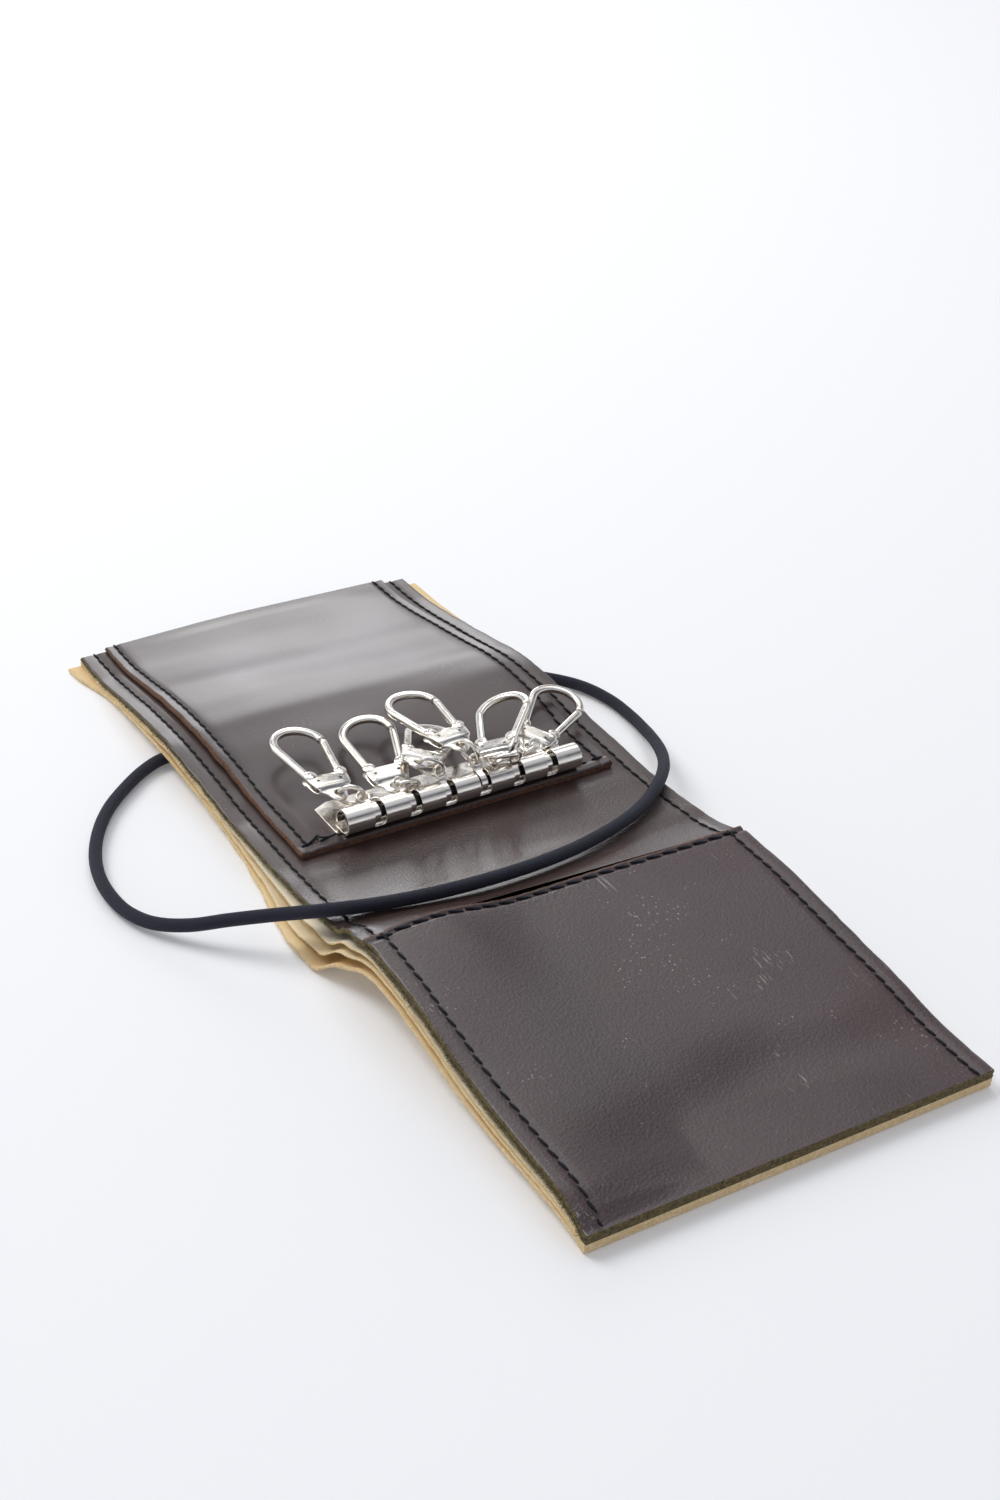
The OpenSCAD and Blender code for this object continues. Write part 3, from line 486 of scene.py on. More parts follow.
def strip_layer(name, index, thickness, flare, materials, slot, far_left=0, far_right=0, relief=None):
    """One leather of the strip, as a far piece over the back fold and a near piece over the front fold."""
    for part, rows in (("far", far_rows), ("near", near_rows)):
        build = bmesh.new()
        slab(build, across(flare, index, 0, far_left, far_right), rows, lambda x, y: layers(x, y)[index],
            thickness, relief=relief)
        if part == "far":
            made = piece(f"{name}_far", build, None, materials, f"{name}_back", f"{name}_spine", slot=slot)
            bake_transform(made)
        else:
            made = piece(f"{name}_near", build, None, materials, f"{name}_front", slot=slot)
            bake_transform(made)


def seam_groove(x, seam_at, depth=0.28, reach=0.65):
    """Depth that the thread pulls the leather down, beside a seam at this distance from the middle."""
    return depth * exp(-((abs(x) - seam_at) / reach) ** 2)


seam_inset = 4
seam_x = strip_w / 2 - seam_inset
strip_layer("cover", 0, cover_t, cover_flare, [cover_leather, pale_edge], "natural_cover", far_left=3.4,
    far_right=4)
strip_layer("interlining", 1, interlining_t, interlining_flare, [layer_leather, pale_edge], "natural_layer")
strip_layer("backing", 2, backing_t, backing_flare, [split_leather, pale_edge], "natural_split")
strip_layer("lining", 3, lining_t, 0, [lining_leather, brown_edge], "brown_lining",
    relief=lambda x, y: seam_groove(x, seam_x) if y > y_mouth else 0)


def lining_top(x, y):
    return layers(x, y)[3] + lining_t


# Slip pocket: one brown leather over the whole front part, sewn along both sides. Its mouth is sewn over a
# turned edge at the near fold, and it arches up at the left third.
pocket_t, mouth_seam_y, mouth_pitch, bead_back = 1.1, y_mouth - 1.7, 4, 0.75


def pocket_under(x, y):
    arch = 1.9 * hump(x, y, -30, y_mouth, 13, 15) * ease((47.5 - abs(x)) / 8)
    crest = 0.5 * hump(x, y, -8, y_mouth - 9, 26, 6)
    dent = 0.65 * hump(x, y, 6, -91, 15, 8) * ease((y - y_near) / 12)
    return lining_top(x, y) + apart + 0.2 * ease((y - y_mouth + 30) / 30) + arch + crest - dent


def pocket_relief(x, y):
    """How deep the pocket's face is pressed: along the seams, and turned down at the mouth. Between the
    mouth's seam and its edge stands a bead, which each stitch hole draws in a little."""
    mouth_groove = 0.42 * exp(-((y - mouth_seam_y) / 0.5) ** 2)
    pull = 0.5 + 0.5 * cos(2 * pi * (x + seam_x) / mouth_pitch)
    bead = (0.22 - 0.16 * pull) * exp(-((y - y_mouth + bead_back) / 0.45) ** 2)
    bead *= ease((seam_x + 2 - abs(x)) / 2)
    turned_edge = 0.5 * max(0, 1 - (y_mouth - y) / 0.5) ** 2
    return max(seam_groove(x, seam_x), mouth_groove) + turned_edge - bead


def pocket_top(x, y):
    return pocket_under(x, y) + pocket_t


mouth_rows = [y_mouth - step for step in (3.2, 2.7, 2.3, 2, 1.7, 1.4, 1.1, 0.75, 0.45, 0.3, 0.15, 0.05, 0)]
pocket_xs = spread(-46.4, 46.4, 0.8)


def pocket_across(y):
    """Close rows of places, so that the bead at the mouth can be drawn in at each stitch."""
    edges = across(0, 5)(y)
    return [edges[0]] + pocket_xs + [edges[-1]]


pocket_mesh = bmesh.new()
slab(pocket_mesh, pocket_across, spread(y_near, y_mouth - 4, row_step) + mouth_rows, pocket_under, pocket_t,
    relief=pocket_relief)
for face in pocket_mesh.faces:
    # From the bead on, the leather is turned and burnished
    if face.calc_center_median().y > (y_mouth - 0.9) * MM:
        face.material_index = 2
piece("slip_pocket_leather", pocket_mesh, "front_flap", [pocket_leather, brown_edge, burnished_edge],
    "slip_pocket", slot="brown_pocket")


# Key panel: a narrower brown leather with burnished edges, sewn on the back part round three sides. The key
# bar is riveted to it before it is sewn on.
key_panel_t, key_panel_inset = 1.1, 6.7
key_gap_shares = [(2, 0.17), (2.16, 0.17), (2.3, 0.3), (2.37, 0.33), (2.47, 0.25), (2.67, 0.23),
    (2.8, 0.1), (3, 0)]


def key_under(x, y):
    return lining_top(x, y) + apart + fan_h * share(key_gap_shares, station(y))


def key_top(x, y):
    return key_under(x, y) + key_panel_t


key_half = strip_w / 2 - key_panel_inset
key_seam_inset = 2.7
key_seam_x = key_half - key_seam_inset
key_seam_y = y_key + key_seam_inset
bar_half = 32


def key_relief(x, y):
    near_edge = 0.35 * max(0, 1 - (y - y_key) / 0.45) ** 2
    corner_groove = 0.25 * exp(-((y - key_seam_y) / 0.6) ** 2) * ease((abs(x) - bar_half) / 2)
    return max(seam_groove(x, key_seam_x), corner_groove) + near_edge


key_rows = [y_key + step for step in (0, 0.05, 0.15, 0.3, 0.5, 1, 1.6, 2.1, 2.4, 2.7, 3, 3.4, 4)]
key_mesh = bmesh.new()
# Its face lies where the solid's does, and its body fills the gap down to the lining
slab(key_mesh, across(0, 8, key_panel_inset), key_rows + spread(y_key + 5, y_far, row_step),
    lambda x, y: lining_top(x, y) + apart, lambda x, y: key_top(x, y) - lining_top(x, y) - apart, 0.4,
    key_relief)
piece("key_panel_leather", key_mesh, "back_panel", [panel_leather, burnished_edge], "key_panel",
    slot="brown_panel")


# Seams: waxed linen thread, sewn by awl with a stitch about every three millimetres. Each stitch lies in the
# leather's surface and dips into its holes. The seams are laid by Geometry Nodes along drawn lines.
# Waxed linen is almost black and matt, and its ply shows as a fine relief
waxed, tree, shader = material("waxed linen thread", Roughness=0.72, Specular_IOR_Level=0.3)
ply = fine_relief(tree, shader, 3500.0, 3.0, 0.7, 0.0002)
join(tree, shader, Base_Color=add(tree, "ShaderNodeValToRGB", stops=[(0.35, "#0E1115"), (0.7, "#20262D")],
    _0=ply))


def line_tree(name, sizes, lay):
    """A node tree that lays things along lines at an even pitch. lay adds what is laid, as instances."""
    tree = bpy.data.node_groups.new(name, "GeometryNodeTree")
    sockets = ([("Lines", "INPUT", "Geometry")] + [(size, "INPUT", "Float") for size in sizes]
        + [("Material", "INPUT", "Material"), ("Laid", "OUTPUT", "Geometry")])
    for socket, way, kind in sockets:
        tree.interface.new_socket(socket, in_out=way, socket_type="NodeSocket" + kind)
    given = tree.nodes.new("NodeGroupInput").outputs
    curve = add(tree, "GeometryNodeMeshToCurve", Mesh=given["Lines"])
    spaced = add(tree, "GeometryNodeResampleCurve", {"mode": "LENGTH"}, Curve=curve, Length=given["Pitch"])
    real = add(tree, "GeometryNodeRealizeInstances", Geometry=lay(tree, given, spaced))
    dyed = add(tree, "GeometryNodeSetMaterial", Geometry=real, Material=given["Material"])
    join(tree, tree.nodes.new("NodeGroupOutput"), _0=dyed)
    return tree


def lay_stitches(tree, given, spaced):
    """One rounded stitch at each pitch, turned along its line and slanted a little."""
    ball = add(tree, "GeometryNodeMeshUVSphere", Segments=8, Rings=6, Radius=0.5)
    soft = add(tree, "GeometryNodeSetShadeSmooth", _0=ball)
    lying = add(tree, "GeometryNodeTransform", Geometry=soft, Rotation=(0, pi / 2, 0))
    size = add(tree, "ShaderNodeCombineXYZ", X=given["Length"], Y=given["Width"], Z=given["Width"])
    shaped = add(tree, "GeometryNodeTransform", Geometry=lying, Scale=size)
    askew = add(tree, "ShaderNodeCombineXYZ", Z=given["Slant"])
    slanted = add(tree, "GeometryNodeTransform", Geometry=shaped, Rotation=askew)
    turn = add(tree, "FunctionNodeAlignRotationToVector", {"axis": "X"},
        Vector=add(tree, "GeometryNodeInputTangent"))
    return add(tree, "GeometryNodeInstanceOnPoints", Points=spaced, Instance=slanted, Rotation=turn)


seam_tree = line_tree("seam", ("Pitch", "Length", "Width", "Slant"), lay_stitches)


def settled(made):
    """Turns what the object's modifiers give into its plain mesh."""
    bpy.context.view_layer.update()
    mesh = bpy.data.meshes.new_from_object(made.evaluated_get(bpy.context.evaluated_depsgraph_get()))
    made.modifiers.clear()
    made.data = mesh
    return made


def laid(name, lines, nodes, sizes):
    """What a node tree lays along lines, each a list of points in millimetres, as one plain mesh."""
    build = bmesh.new()
    for line in lines:
        points = [build.verts.new(Vector(p) * MM) for p in line]
        for a, b in zip(points, points[1:]):
            build.edges.new([a, b])
    made = formed(name, build)
    modifier = made.modifiers.new("laid", "NODES")
    modifier.node_group = nodes
    for item in nodes.interface.items_tree:
        if item.item_type == "SOCKET" and item.in_out == "INPUT" and item.name in sizes:
            modifier[item.identifier] = sizes[item.name]
    settled(made)
    return made


def sewn_lines(name, lines, pitch, length, width, slant):
    return laid(name, lines, seam_tree, {"Pitch": pitch * MM, "Length": length * MM, "Width": width * MM,
        "Slant": slant, "Material": waxed})


stitch = dict(pitch=3.1, length=3, width=0.6, slant=radians(9))
mouth_stitch = dict(pitch=mouth_pitch, length=3.6, width=0.75, slant=radians(-17))
sunk = -0.06


def seam_line(x, from_y, to_y, top):
    return [(x + 0.15 * noise.noise(Vector((y / 7, x, 0))), slid(x, y), top(x, y) + sunk)
        for y in spread(from_y, to_y, 1.5)]


far_thread = sewn_lines("thread_far", [seam_line(side * seam_x, mid_spine_y, y_far - 1, lining_top)
    for side in (-1, 1)], **stitch)
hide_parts("thread_back", "thread_spine")
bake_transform(far_thread)
near_thread = sewn_lines("thread_near", [seam_line(side * seam_x, y_mouth + 0.8, mid_spine_y, lining_top)
    for side in (-1, 1)], **stitch)
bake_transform(near_thread)
corner_lines = [[(side * x, key_seam_y, key_top(side * x, key_seam_y) + sunk)
    for x in (key_seam_x, key_seam_x - 2, key_seam_x - 4.5)] for side in (-1, 1)]
key_thread = sewn_lines("thread_key_panel", corner_lines + [seam_line(side * key_seam_x, key_seam_y + 1,
    y_far - 1, key_top) for side in (-1, 1)], **stitch)
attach(key_thread, "back_panel")
mouth_line = [(x, mouth_seam_y, pocket_top(x, mouth_seam_y) + sunk) for x in spread(-seam_x, seam_x, 1.5)]
pocket_thread = sewn_lines("thread_pocket", [seam_line(side * seam_x, y_near + 1.5, y_mouth - 2, pocket_top)
    for side in (-1, 1)], **stitch)
mouth_thread = sewn_lines("thread_mouth", [mouth_line], **mouth_stitch)
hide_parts("thread_front")
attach(pocket_thread, "front_flap")
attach(mouth_thread, "front_flap")

# The loose end of the key panel's seam curls up at its near left corner
curl = bmesh.new()
curl_start = Vector((-key_seam_x + 1, key_seam_y, key_top(-key_seam_x, key_seam_y)))
curl_route = [(curl_start + Vector((5 * t + 0.8 * sin(7 * t), 1.3 * sin(5 * t), 0.35 + 1.2 * t * t))) * MM
    for t in spread(0, 1, 1 / 16)]
curl_w = 0.5
sweep(curl, curl_route, curl_w * MM, curl_w * MM, 8, cap=0.3 * curl_w * MM)
piece("thread_end", curl, "back_panel", [waxed], slot="thread")


# Raw edge of the brown lining: its fibres stand out of the cut like short fur. Geometry Nodes set them
# along the left edge, where the photograph shows them, each turned and bent its own way.
def lay_fibres(tree, given, spaced):
    """Thin spikes at random places and angles round each line."""
    loose = add(tree, "GeometryNodeCurveToPoints", {"mode": "EVALUATED"}, Curve=spaced)
    back = add(tree, "ShaderNodeMath", {"operation": "MULTIPLY"}, _0=given["Spread"], _1=-1.0)
    shift = add(tree, "FunctionNodeRandomValue", {"data_type": "FLOAT_VECTOR"}, _0=back, _1=given["Spread"],
        Seed=4)
    moved = add(tree, "GeometryNodeSetPosition", Geometry=loose, Offset=shift)
    spike = add(tree, "GeometryNodeMeshCone", {"fill_type": "NGON"}, Vertices=3, Radius_Bottom=0.5,
        Radius_Top=0.05, Depth=1.0)
    size = add(tree, "ShaderNodeCombineXYZ", X=given["Width"], Y=given["Width"], Z=given["Length"])
    thin = add(tree, "GeometryNodeTransform", Geometry=spike, Scale=size)
    turn = add(tree, "FunctionNodeRandomValue", {"data_type": "FLOAT_VECTOR"}, _0=(0.4, -1.3, 0.0),
        _1=(2.6, 1.3, 6.28), Seed=9)
    growth = add(tree, "FunctionNodeRandomValue", _2=0.4, _3=1.5, Seed=2)
    return add(tree, "GeometryNodeInstanceOnPoints", Points=moved, Instance=thin, Rotation=turn,
        Scale=growth.outputs[1])


fur_tree = line_tree("fur", ("Pitch", "Length", "Width", "Spread"), lay_fibres)
fibre, tree, shader = material("leather fibres", Roughness=0.9, Specular_IOR_Level=0.1)
fibre_tone = add(tree, "ShaderNodeTexNoise", Vector=add(tree, "ShaderNodeTexCoord").outputs["Object"],
    Scale=800.0, Detail=2.0)
join(tree, shader, Base_Color=add(tree, "ShaderNodeValToRGB", stops=[(0.38, "#453A28"), (0.62, "#A39468")],
    _0=fibre_tone))
for part, rows, bodies, blend_ends in (("far", far_rows, ("back_panel", "spine"), fold_back_blend),
        ("near", near_rows, ("spine", "front_flap"), fold_front_blend)):
    cut_line = []
    for y in rows[1:-1]:
        x = across(0, 3)(y)[0]
        cut_line.append((x, slid(x, y), layers(x, y)[3] + lining_t * 0.55))
    fur = laid(f"lining_fur_{part}", [cut_line], fur_tree, {"Pitch": 0.06 * MM, "Length": 0.5 * MM,
        "Width": 0.11 * MM, "Spread": 0.42 * MM, "Material": fibre})
    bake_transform(fur)


# Key bar: nickel-plated steel sheet, rolled at one edge into a tube with six slots and cut off at the
# corners behind, riveted to the key panel. The rod in the tube carries the links.
# Bright nickel over steel is a warm mirror, a little hazy and dented where it was handled
nickel, tree, shader = material("bright nickel plate", Base_Color=linear("#E4DED4"), Metallic=1.0)
fine_relief(tree, shader, 650.0, 2.0, 0.08, 0.0001)
handling = add(tree, "ShaderNodeTexNoise", Vector=add(tree, "ShaderNodeTexCoord").outputs["Object"],
    Scale=420.0, Detail=4.0)
join(tree, shader, Roughness=add(tree, "ShaderNodeMapRange", _0=handling, _1=0.35, _2=0.7, _3=0.15, _4=0.28))

# Uncoated or dull steel of the hidden pieces
steel, tree, shader = material("plain steel", Base_Color=linear("#A8A59F"), Metallic=1.0, Roughness=0.38)
fine_relief(tree, shader, 900.0, 3.0, 0.2, 0.00005)

bar_len, flange_out, bar_x, tube_r, sheet_t, flange_w = 61, 1.3, 1, 3, 0.5, 12
slot_pitch, slot_w, hooks = 9, 2.8, 6
rod_low, rod_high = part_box("bar_rod")
rod_y = (rod_low.y + rod_high.y) / 2 / MM
rod_z = (rod_low.z + rod_high.z) / 2 / MM
bar_z = rod_z - tube_r


def slot_x(k):
    return bar_x + (k - (hooks + 1) / 2) * slot_pitch


def rolled_sheet(build, from_x, to_x, line, thickness):
    """Sheet metal bent along line, a list of (y, z), from one x to another."""
    rings = []
    for i, (y, z) in enumerate(line):
        before, after = line[max(i - 1, 0)], line[min(i + 1, len(line) - 1)]
        length = hypot(after[0] - before[0], after[1] - before[1])
        out_y = (after[1] - before[1]) / length * thickness / 2
        out_z = (before[0] - after[0]) / length * thickness / 2
        rings.append([build.verts.new(Vector((x, y + s * out_y, z + s * out_z)) * MM)
            for x, s in ((from_x, -1), (to_x, -1), (to_x, 1), (from_x, 1))])
    for a, b in zip(rings, rings[1:]):
        for j in range(4):
            k = (j + 1) % 4
            build.faces.new([a[k], a[j], b[j], b[k]]).smooth = True
    build.faces.new(rings[0])
    build.faces.new(list(reversed(rings[-1])))


def plate(build, outline, from_z, to_z):
    """A flat plate of the outline, a list of (x, y), between two heights, in millimetres."""
    low, high = [[build.verts.new(Vector((x, y, z)) * MM) for x, y in outline] for z in (from_z, to_z)]
    for j in range(len(outline)):
        k = (j + 1) % len(outline)
        build.faces.new([low[j], low[k], high[k], high[j]])
    build.faces.new(list(reversed(low)))
    build.faces.new(high)


def bevelled(made, width):
    """Rounds the object's sharp edges."""
    modifier = made.modifiers.new("edges", "BEVEL")
    modifier.width = width * MM
    modifier.segments = 2
    modifier.limit_method = "ANGLE"
    modifier.angle_limit = radians(40)
    modifier.harden_normals = True
    for face in made.data.polygons:
        face.use_smooth = True
    return settled(made)


bar_mesh = bmesh.new()
slot_low, slot_round = 208, 24


def slot_foot(x):
    """Angle at which the open part of the tube starts, round the near side: each slot's foot is round."""
    for k in range(1, hooks + 1):
        off = abs(x - slot_x(k)) / (slot_w / 2)
        if off < 1:
            return slot_low + slot_round * sqrt(1 - off ** 2)
    return slot_low


tube_xs = [bar_x - bar_len / 2]
for k in range(1, hooks + 1):
    solid = spread(tube_xs[-1], slot_x(k) - slot_w / 2, 1.3)
    tube_xs += solid[1:] + [slot_x(k) + s * slot_w / 2 for s in (-0.93, -0.75, -0.4, 0, 0.4, 0.75, 0.93, 1)]
tube_xs += spread(tube_xs[-1], bar_x + bar_len / 2, 1.3)[1:]
foot_rows, roll_rows, roll_end = 7, 30, -28
shell = []
for x in tube_xs:
    # From the flange under the axis, up the near side, over the top and down to the flange behind
    foot = slot_foot(x)
    angles = ([270 + (foot - 270) * i / foot_rows for i in range(foot_rows + 1)]
        + [foot + (roll_end - foot) * i / roll_rows for i in range(1, roll_rows + 1)])
    columns = []
    for r, z in ((tube_r, bar_z), (tube_r - sheet_t, bar_z + sheet_t)):
        column = [(rod_y + tube_r + 0.2, z), (rod_y + 1.5, z)]
        column += [(rod_y + r * cos(radians(a)), rod_z + r * sin(radians(a))) for a in angles]
        columns.append([bar_mesh.verts.new(Vector((x, y, h)) * MM) for y, h in column])
    shell.append(columns)
for i in range(len(shell) - 1):
    open_here = slot_foot((tube_xs[i] + tube_xs[i + 1]) / 2) > slot_low
    last = foot_rows + 2 if open_here else len(shell[0][0]) - 1
    for j in range(last):
        (a_out, a_in), (b_out, b_in) = shell[i], shell[i + 1]
        bar_mesh.faces.new([a_out[j], a_out[j + 1], b_out[j + 1], b_out[j]]).smooth = True
        bar_mesh.faces.new([a_in[j], b_in[j], b_in[j + 1], a_in[j + 1]]).smooth = True
inner_of = {a: b for columns in shell for a, b in zip(*columns)}
# The sheet's cut edges close the shell between its two faces
for line in [e for e in bar_mesh.edges if e.is_boundary and all(v in inner_of for v in e.verts)]:
    a, b = line.link_loops[0].vert, line.link_loops[0].link_loop_next.vert
    bar_mesh.faces.new([b, a, inner_of[a], inner_of[b]])
flange_half = bar_len / 2 + flange_out
flange_far = rod_y + flange_w
flange_near = rod_y + tube_r + 0.2
plate(bar_mesh, [(bar_x - flange_half, flange_near), (bar_x + flange_half, flange_near),
    (bar_x + flange_half, flange_far - 1.6), (bar_x + flange_half - 3.5, flange_far),
    (bar_x - flange_half + 3.5, flange_far), (bar_x - flange_half, flange_far - 1.6)], bar_z, bar_z + sheet_t)
for side in (-1, 1):
    # The flange runs on under the tube's ends
    ends = sorted((bar_x + side * bar_len / 2, bar_x + side * flange_half))
    plate(bar_mesh, [(ends[0], rod_y), (ends[1], rod_y), (ends[1], flange_near), (ends[0], flange_near)],
        bar_z, bar_z + sheet_t)
bevelled(piece("bar_plate_rolled", bar_mesh, "back_panel", [nickel], "bar_plate", slot="nickel_bar"), 0.1)

# The rod lies loose in the tube. Its steel is painted dark, as painted shade, so the tube's slots look
# shadowed inside
shade_dark_steel, tree, shader = material("steel wire painted dark as shade", Base_Color=linear("#5A5754"), Metallic=1.0,
    Roughness=0.45)
fine_relief(tree, shader, 1200.0, 2.0, 0.2, 0.00005)
rod_seen_r = 1.15
rod_mesh = bmesh.new()
rod_route = [Vector((x, rod_y, rod_z)) * MM
    for x in spread(bar_x - bar_len / 2 + 1, bar_x + bar_len / 2 - 1, 4)]
sweep(rod_mesh, rod_route, 2 * rod_seen_r * MM, 2 * rod_seen_r * MM, 20, cap=0.2 * MM)
piece("bar_rod_wire", rod_mesh, "back_panel", [shade_dark_steel], "bar_rod", slot="steel")


def lathe(build, profile, centre, steps=28, ring=False):
    """A shape turned round Z: profile is a list of (radius, height) from the bottom up, or all round for
    a ring."""
    turns = [(cos(2 * pi * j / steps), sin(2 * pi * j / steps)) for j in range(steps)]
    rings = [[build.verts.new((centre + Vector((r * c, r * s, z))) * MM) for c, s in turns]
        for r, z in profile]
    for a, b in zip(rings, rings[1:] + rings[:1] if ring else rings[1:]):
        for j in range(steps):
            k = (j + 1) % steps
            build.faces.new([a[j], a[k], b[k], b[j]]).smooth = True
    if not ring:
        build.faces.new(list(reversed(rings[0])))
        build.faces.new(rings[-1]).smooth = True


rivet_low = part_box("bar_rivets")[0]
rivet_x, rivet_y, rivet_head = 18, rod_y + 7, bar_z + sheet_t
rivets = bmesh.new()
for side in (-1, 1):
    lathe(rivets, [(0.9, rivet_low.z / MM - rivet_head), (1, 0), (1.8, 0.02), (1.8, 0.15), (1.6, 0.32),
        (1.15, 0.46), (0.5, 0.53)], Vector((bar_x + side * rivet_x, rivet_y, rivet_head)))
piece("bar_rivets_domed", rivets, "back_panel", [nickel], "bar_rivets", slot="nickel_rivet")


# Links: a strap bent round the rod in each slot, with a flat tail whose countersunk eye takes the ring.
link_reach, link_w, link_t, link_end_r, eye_r = 5, 1.6, 0.9, 1.75, 1.05
ring_r, ring_wire_r = 2.7, 0.5
# How each link, ring and hook lies, as in the solids: the link's angle, the ring's [roll, rise, heading],
# the hook's place on the ring, and the hook's [pitch, roll, heading]
lie_angles = [
    [15, [-15, 15, 65], -12, [4, 4, -1]],
    [32, [50.5, -31, -74.5], -132.5, [5, -7, -12]],
    [66, [-24.5, 34, 67], -29, [-13.3, 3, -42]],
    [55, [-25, 58, 37], -60, [-1, 0, 2]],
    [99, [-49.5, 11.5, 89], -56.5, [4, -22.5, -39.5]],
    [31, [-59.5, -27.5, 77.5], -116.5, [3.5, 10, -52]]]
# How far each link has slid from the middle of its slot, as a share of its play there
slide_shares = [-0.58, -0.83, -0.92, 0.17, -0.83, -0.83]


def turned(x, y, z):
    return (Matrix.Rotation(radians(z), 4, "Z") @ Matrix.Rotation(radians(y), 4, "Y")
        @ Matrix.Rotation(radians(x), 4, "X"))


def link_place(k):
    slide = slide_shares[k - 1] * (slot_w - link_w) / 2
    return Matrix.Translation((slot_x(k) + slide, rod_y, rod_z)) @ turned(lie_angles[k - 1][0], 0, 0)


def ring_place(k):
    roll, rise, heading = lie_angles[k - 1][1]
    turn = turned(90 + roll, -rise, 90 + heading)
    eye = link_place(k) @ Vector((0, link_reach, 0))
    return Matrix.Translation(eye) @ turn @ Matrix.Translation((ring_r, 0, 0))


def hook_place(k):
    at = radians(lie_angles[k - 1][2])
    hole = ring_place(k) @ Vector((ring_r * cos(at), ring_r * sin(at), 0))
    return Matrix.Translation(hole) @ turned(*lie_angles[k - 1][3])


link_mesh = bmesh.new()
# The tail is a disc round the eye, countersunk on both sides
rim_z = link_t / 2
lower_rim = [(eye_r + 0.08, -rim_z * 0.6), (eye_r + 0.3, -rim_z), (link_end_r - 0.14, -rim_z),
    (link_end_r, 0.16 - rim_z)]
upper_rim = [(r, -z) for r, z in reversed(lower_rim)]
lathe(link_mesh, [(eye_r, 0)] + lower_rim + upper_rim, Vector((0, link_reach, 0)), ring=True)
# The strap goes round the rod with play, and its two layers close up into the tail
strap_t, loop_r, loop_out = 0.45, 2.12, 0.15
into_tail = [(2.5, 0.68), (2.85, 0.42), (3.3, 0.27), (3.9, 0.225)]
strap = list(reversed(into_tail))
strap += [(loop_out + loop_r * cos(radians(a)), loop_r * sin(radians(a))) for a in range(30, 331, 10)]
strap += [(y, -z) for y, z in into_tail]
rolled_sheet(link_mesh, -link_w / 2, link_w / 2, list(reversed(strap)), strap_t)
link_master = bevelled(piece("link_master", link_mesh, None, [nickel], slot="nickel_link"), 0.1)


def placed_copy(master, name, place, body, *replaced, slot):
    """A copy of a master mesh, carried to its place and baked there."""
    mesh = master.data.copy()
    shift = place.copy()
    shift.translation = shift.translation * MM
    mesh.transform(shift)
    made = placed(name, mesh)
    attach(made, body)
    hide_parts(*replaced)
    return made


for k in range(1, hooks + 1):
    placed_copy(link_master, f"link_{k}_strap", link_place(k), f"link_{k}", f"link_{k}", slot="nickel_link")
bpy.data.objects.remove(link_master)


# Rings: round wire bent to a circle, with a fine gap where its ends meet.
ring_mesh = bmesh.new()
ring_steps, ring_gap = 60, 0.06
ring_line = [Vector((ring_r * cos(a), ring_r * sin(a), 0)) * MM for a in
    [radians(200) + (2 * pi - ring_gap) * i / ring_steps for i in range(ring_steps + 1)]]
sweep(ring_mesh, ring_line, 2 * ring_wire_r * MM, 2 * ring_wire_r * MM, 14, cap=0)
ring_master = piece("ring_master", ring_mesh, None, [nickel], slot="nickel_ring")
for k in range(1, hooks + 1):
    placed_copy(ring_master, f"ring_{k}_wire", ring_place(k), f"ring_{k}", f"ring_{k}", slot="nickel_ring")
bpy.data.objects.remove(ring_master)


# Snap hooks: a wire bow whose leg is crimped between two cheeks of folded sheet, and a gate of the same
# wire that turns on a pin in the other ear, with a leaf spring behind it. Both cheeks close to a tongue
# with the ring's eye. The bow's nose ends over the gate's tip.
line_r, bow_reach, bow_w, gate_w, wire_d, root_x, root_y = 5.8, 19.7, 1.88, 1.8, 1.6, 3.55, 5.9
root_far = hypot(root_x, bow_reach - root_y)
leg_len = sqrt(root_far ** 2 - line_r ** 2)
leg_turn = asin(line_r / root_far) - atan2(root_x, bow_reach - root_y)
gate_len = hypot(line_r - root_x, bow_reach - root_y)

hook_mesh = bmesh.new()
leg = [Vector((-root_x - sin(leg_turn) * t, root_y + cos(leg_turn) * t, 0)) * MM
    for t in [leg_len * i / 12 for i in range(-1, 12)]]
# The arc ends where the gate's tip sweeps past
nose_angle = radians(4)
arc = [Vector((line_r * cos(a), bow_reach + line_r * sin(a), 0)) * MM
    for a in [pi + leg_turn + (nose_angle - pi - leg_turn) * i / 40 for i in range(41)]]
sweep(hook_mesh, leg + arc, bow_w * MM, wire_d * MM, 20, squareness=3.2, cap=0.1 * MM)

housing_half, tongue_half = 1.3, 0.5
outline = [(-2.09, 0.25), (-1.95, 0.85), (-1.6, 1.4), (-1.1, 1.82), (-0.5, 2.07), (0, 2.15), (0.5, 2.45),
    (1, 2.85), (1.5, 3.3), (2, 3.75), (2.5, 4.25), (3, 4.42), (3.6, 4.55), (4.2, 4.68), (4.8, 4.8),
    (5.4, 4.9), (5.9, 4.85), (6.3, 4.7)]


def housing_width(y):
    return share(outline, y)


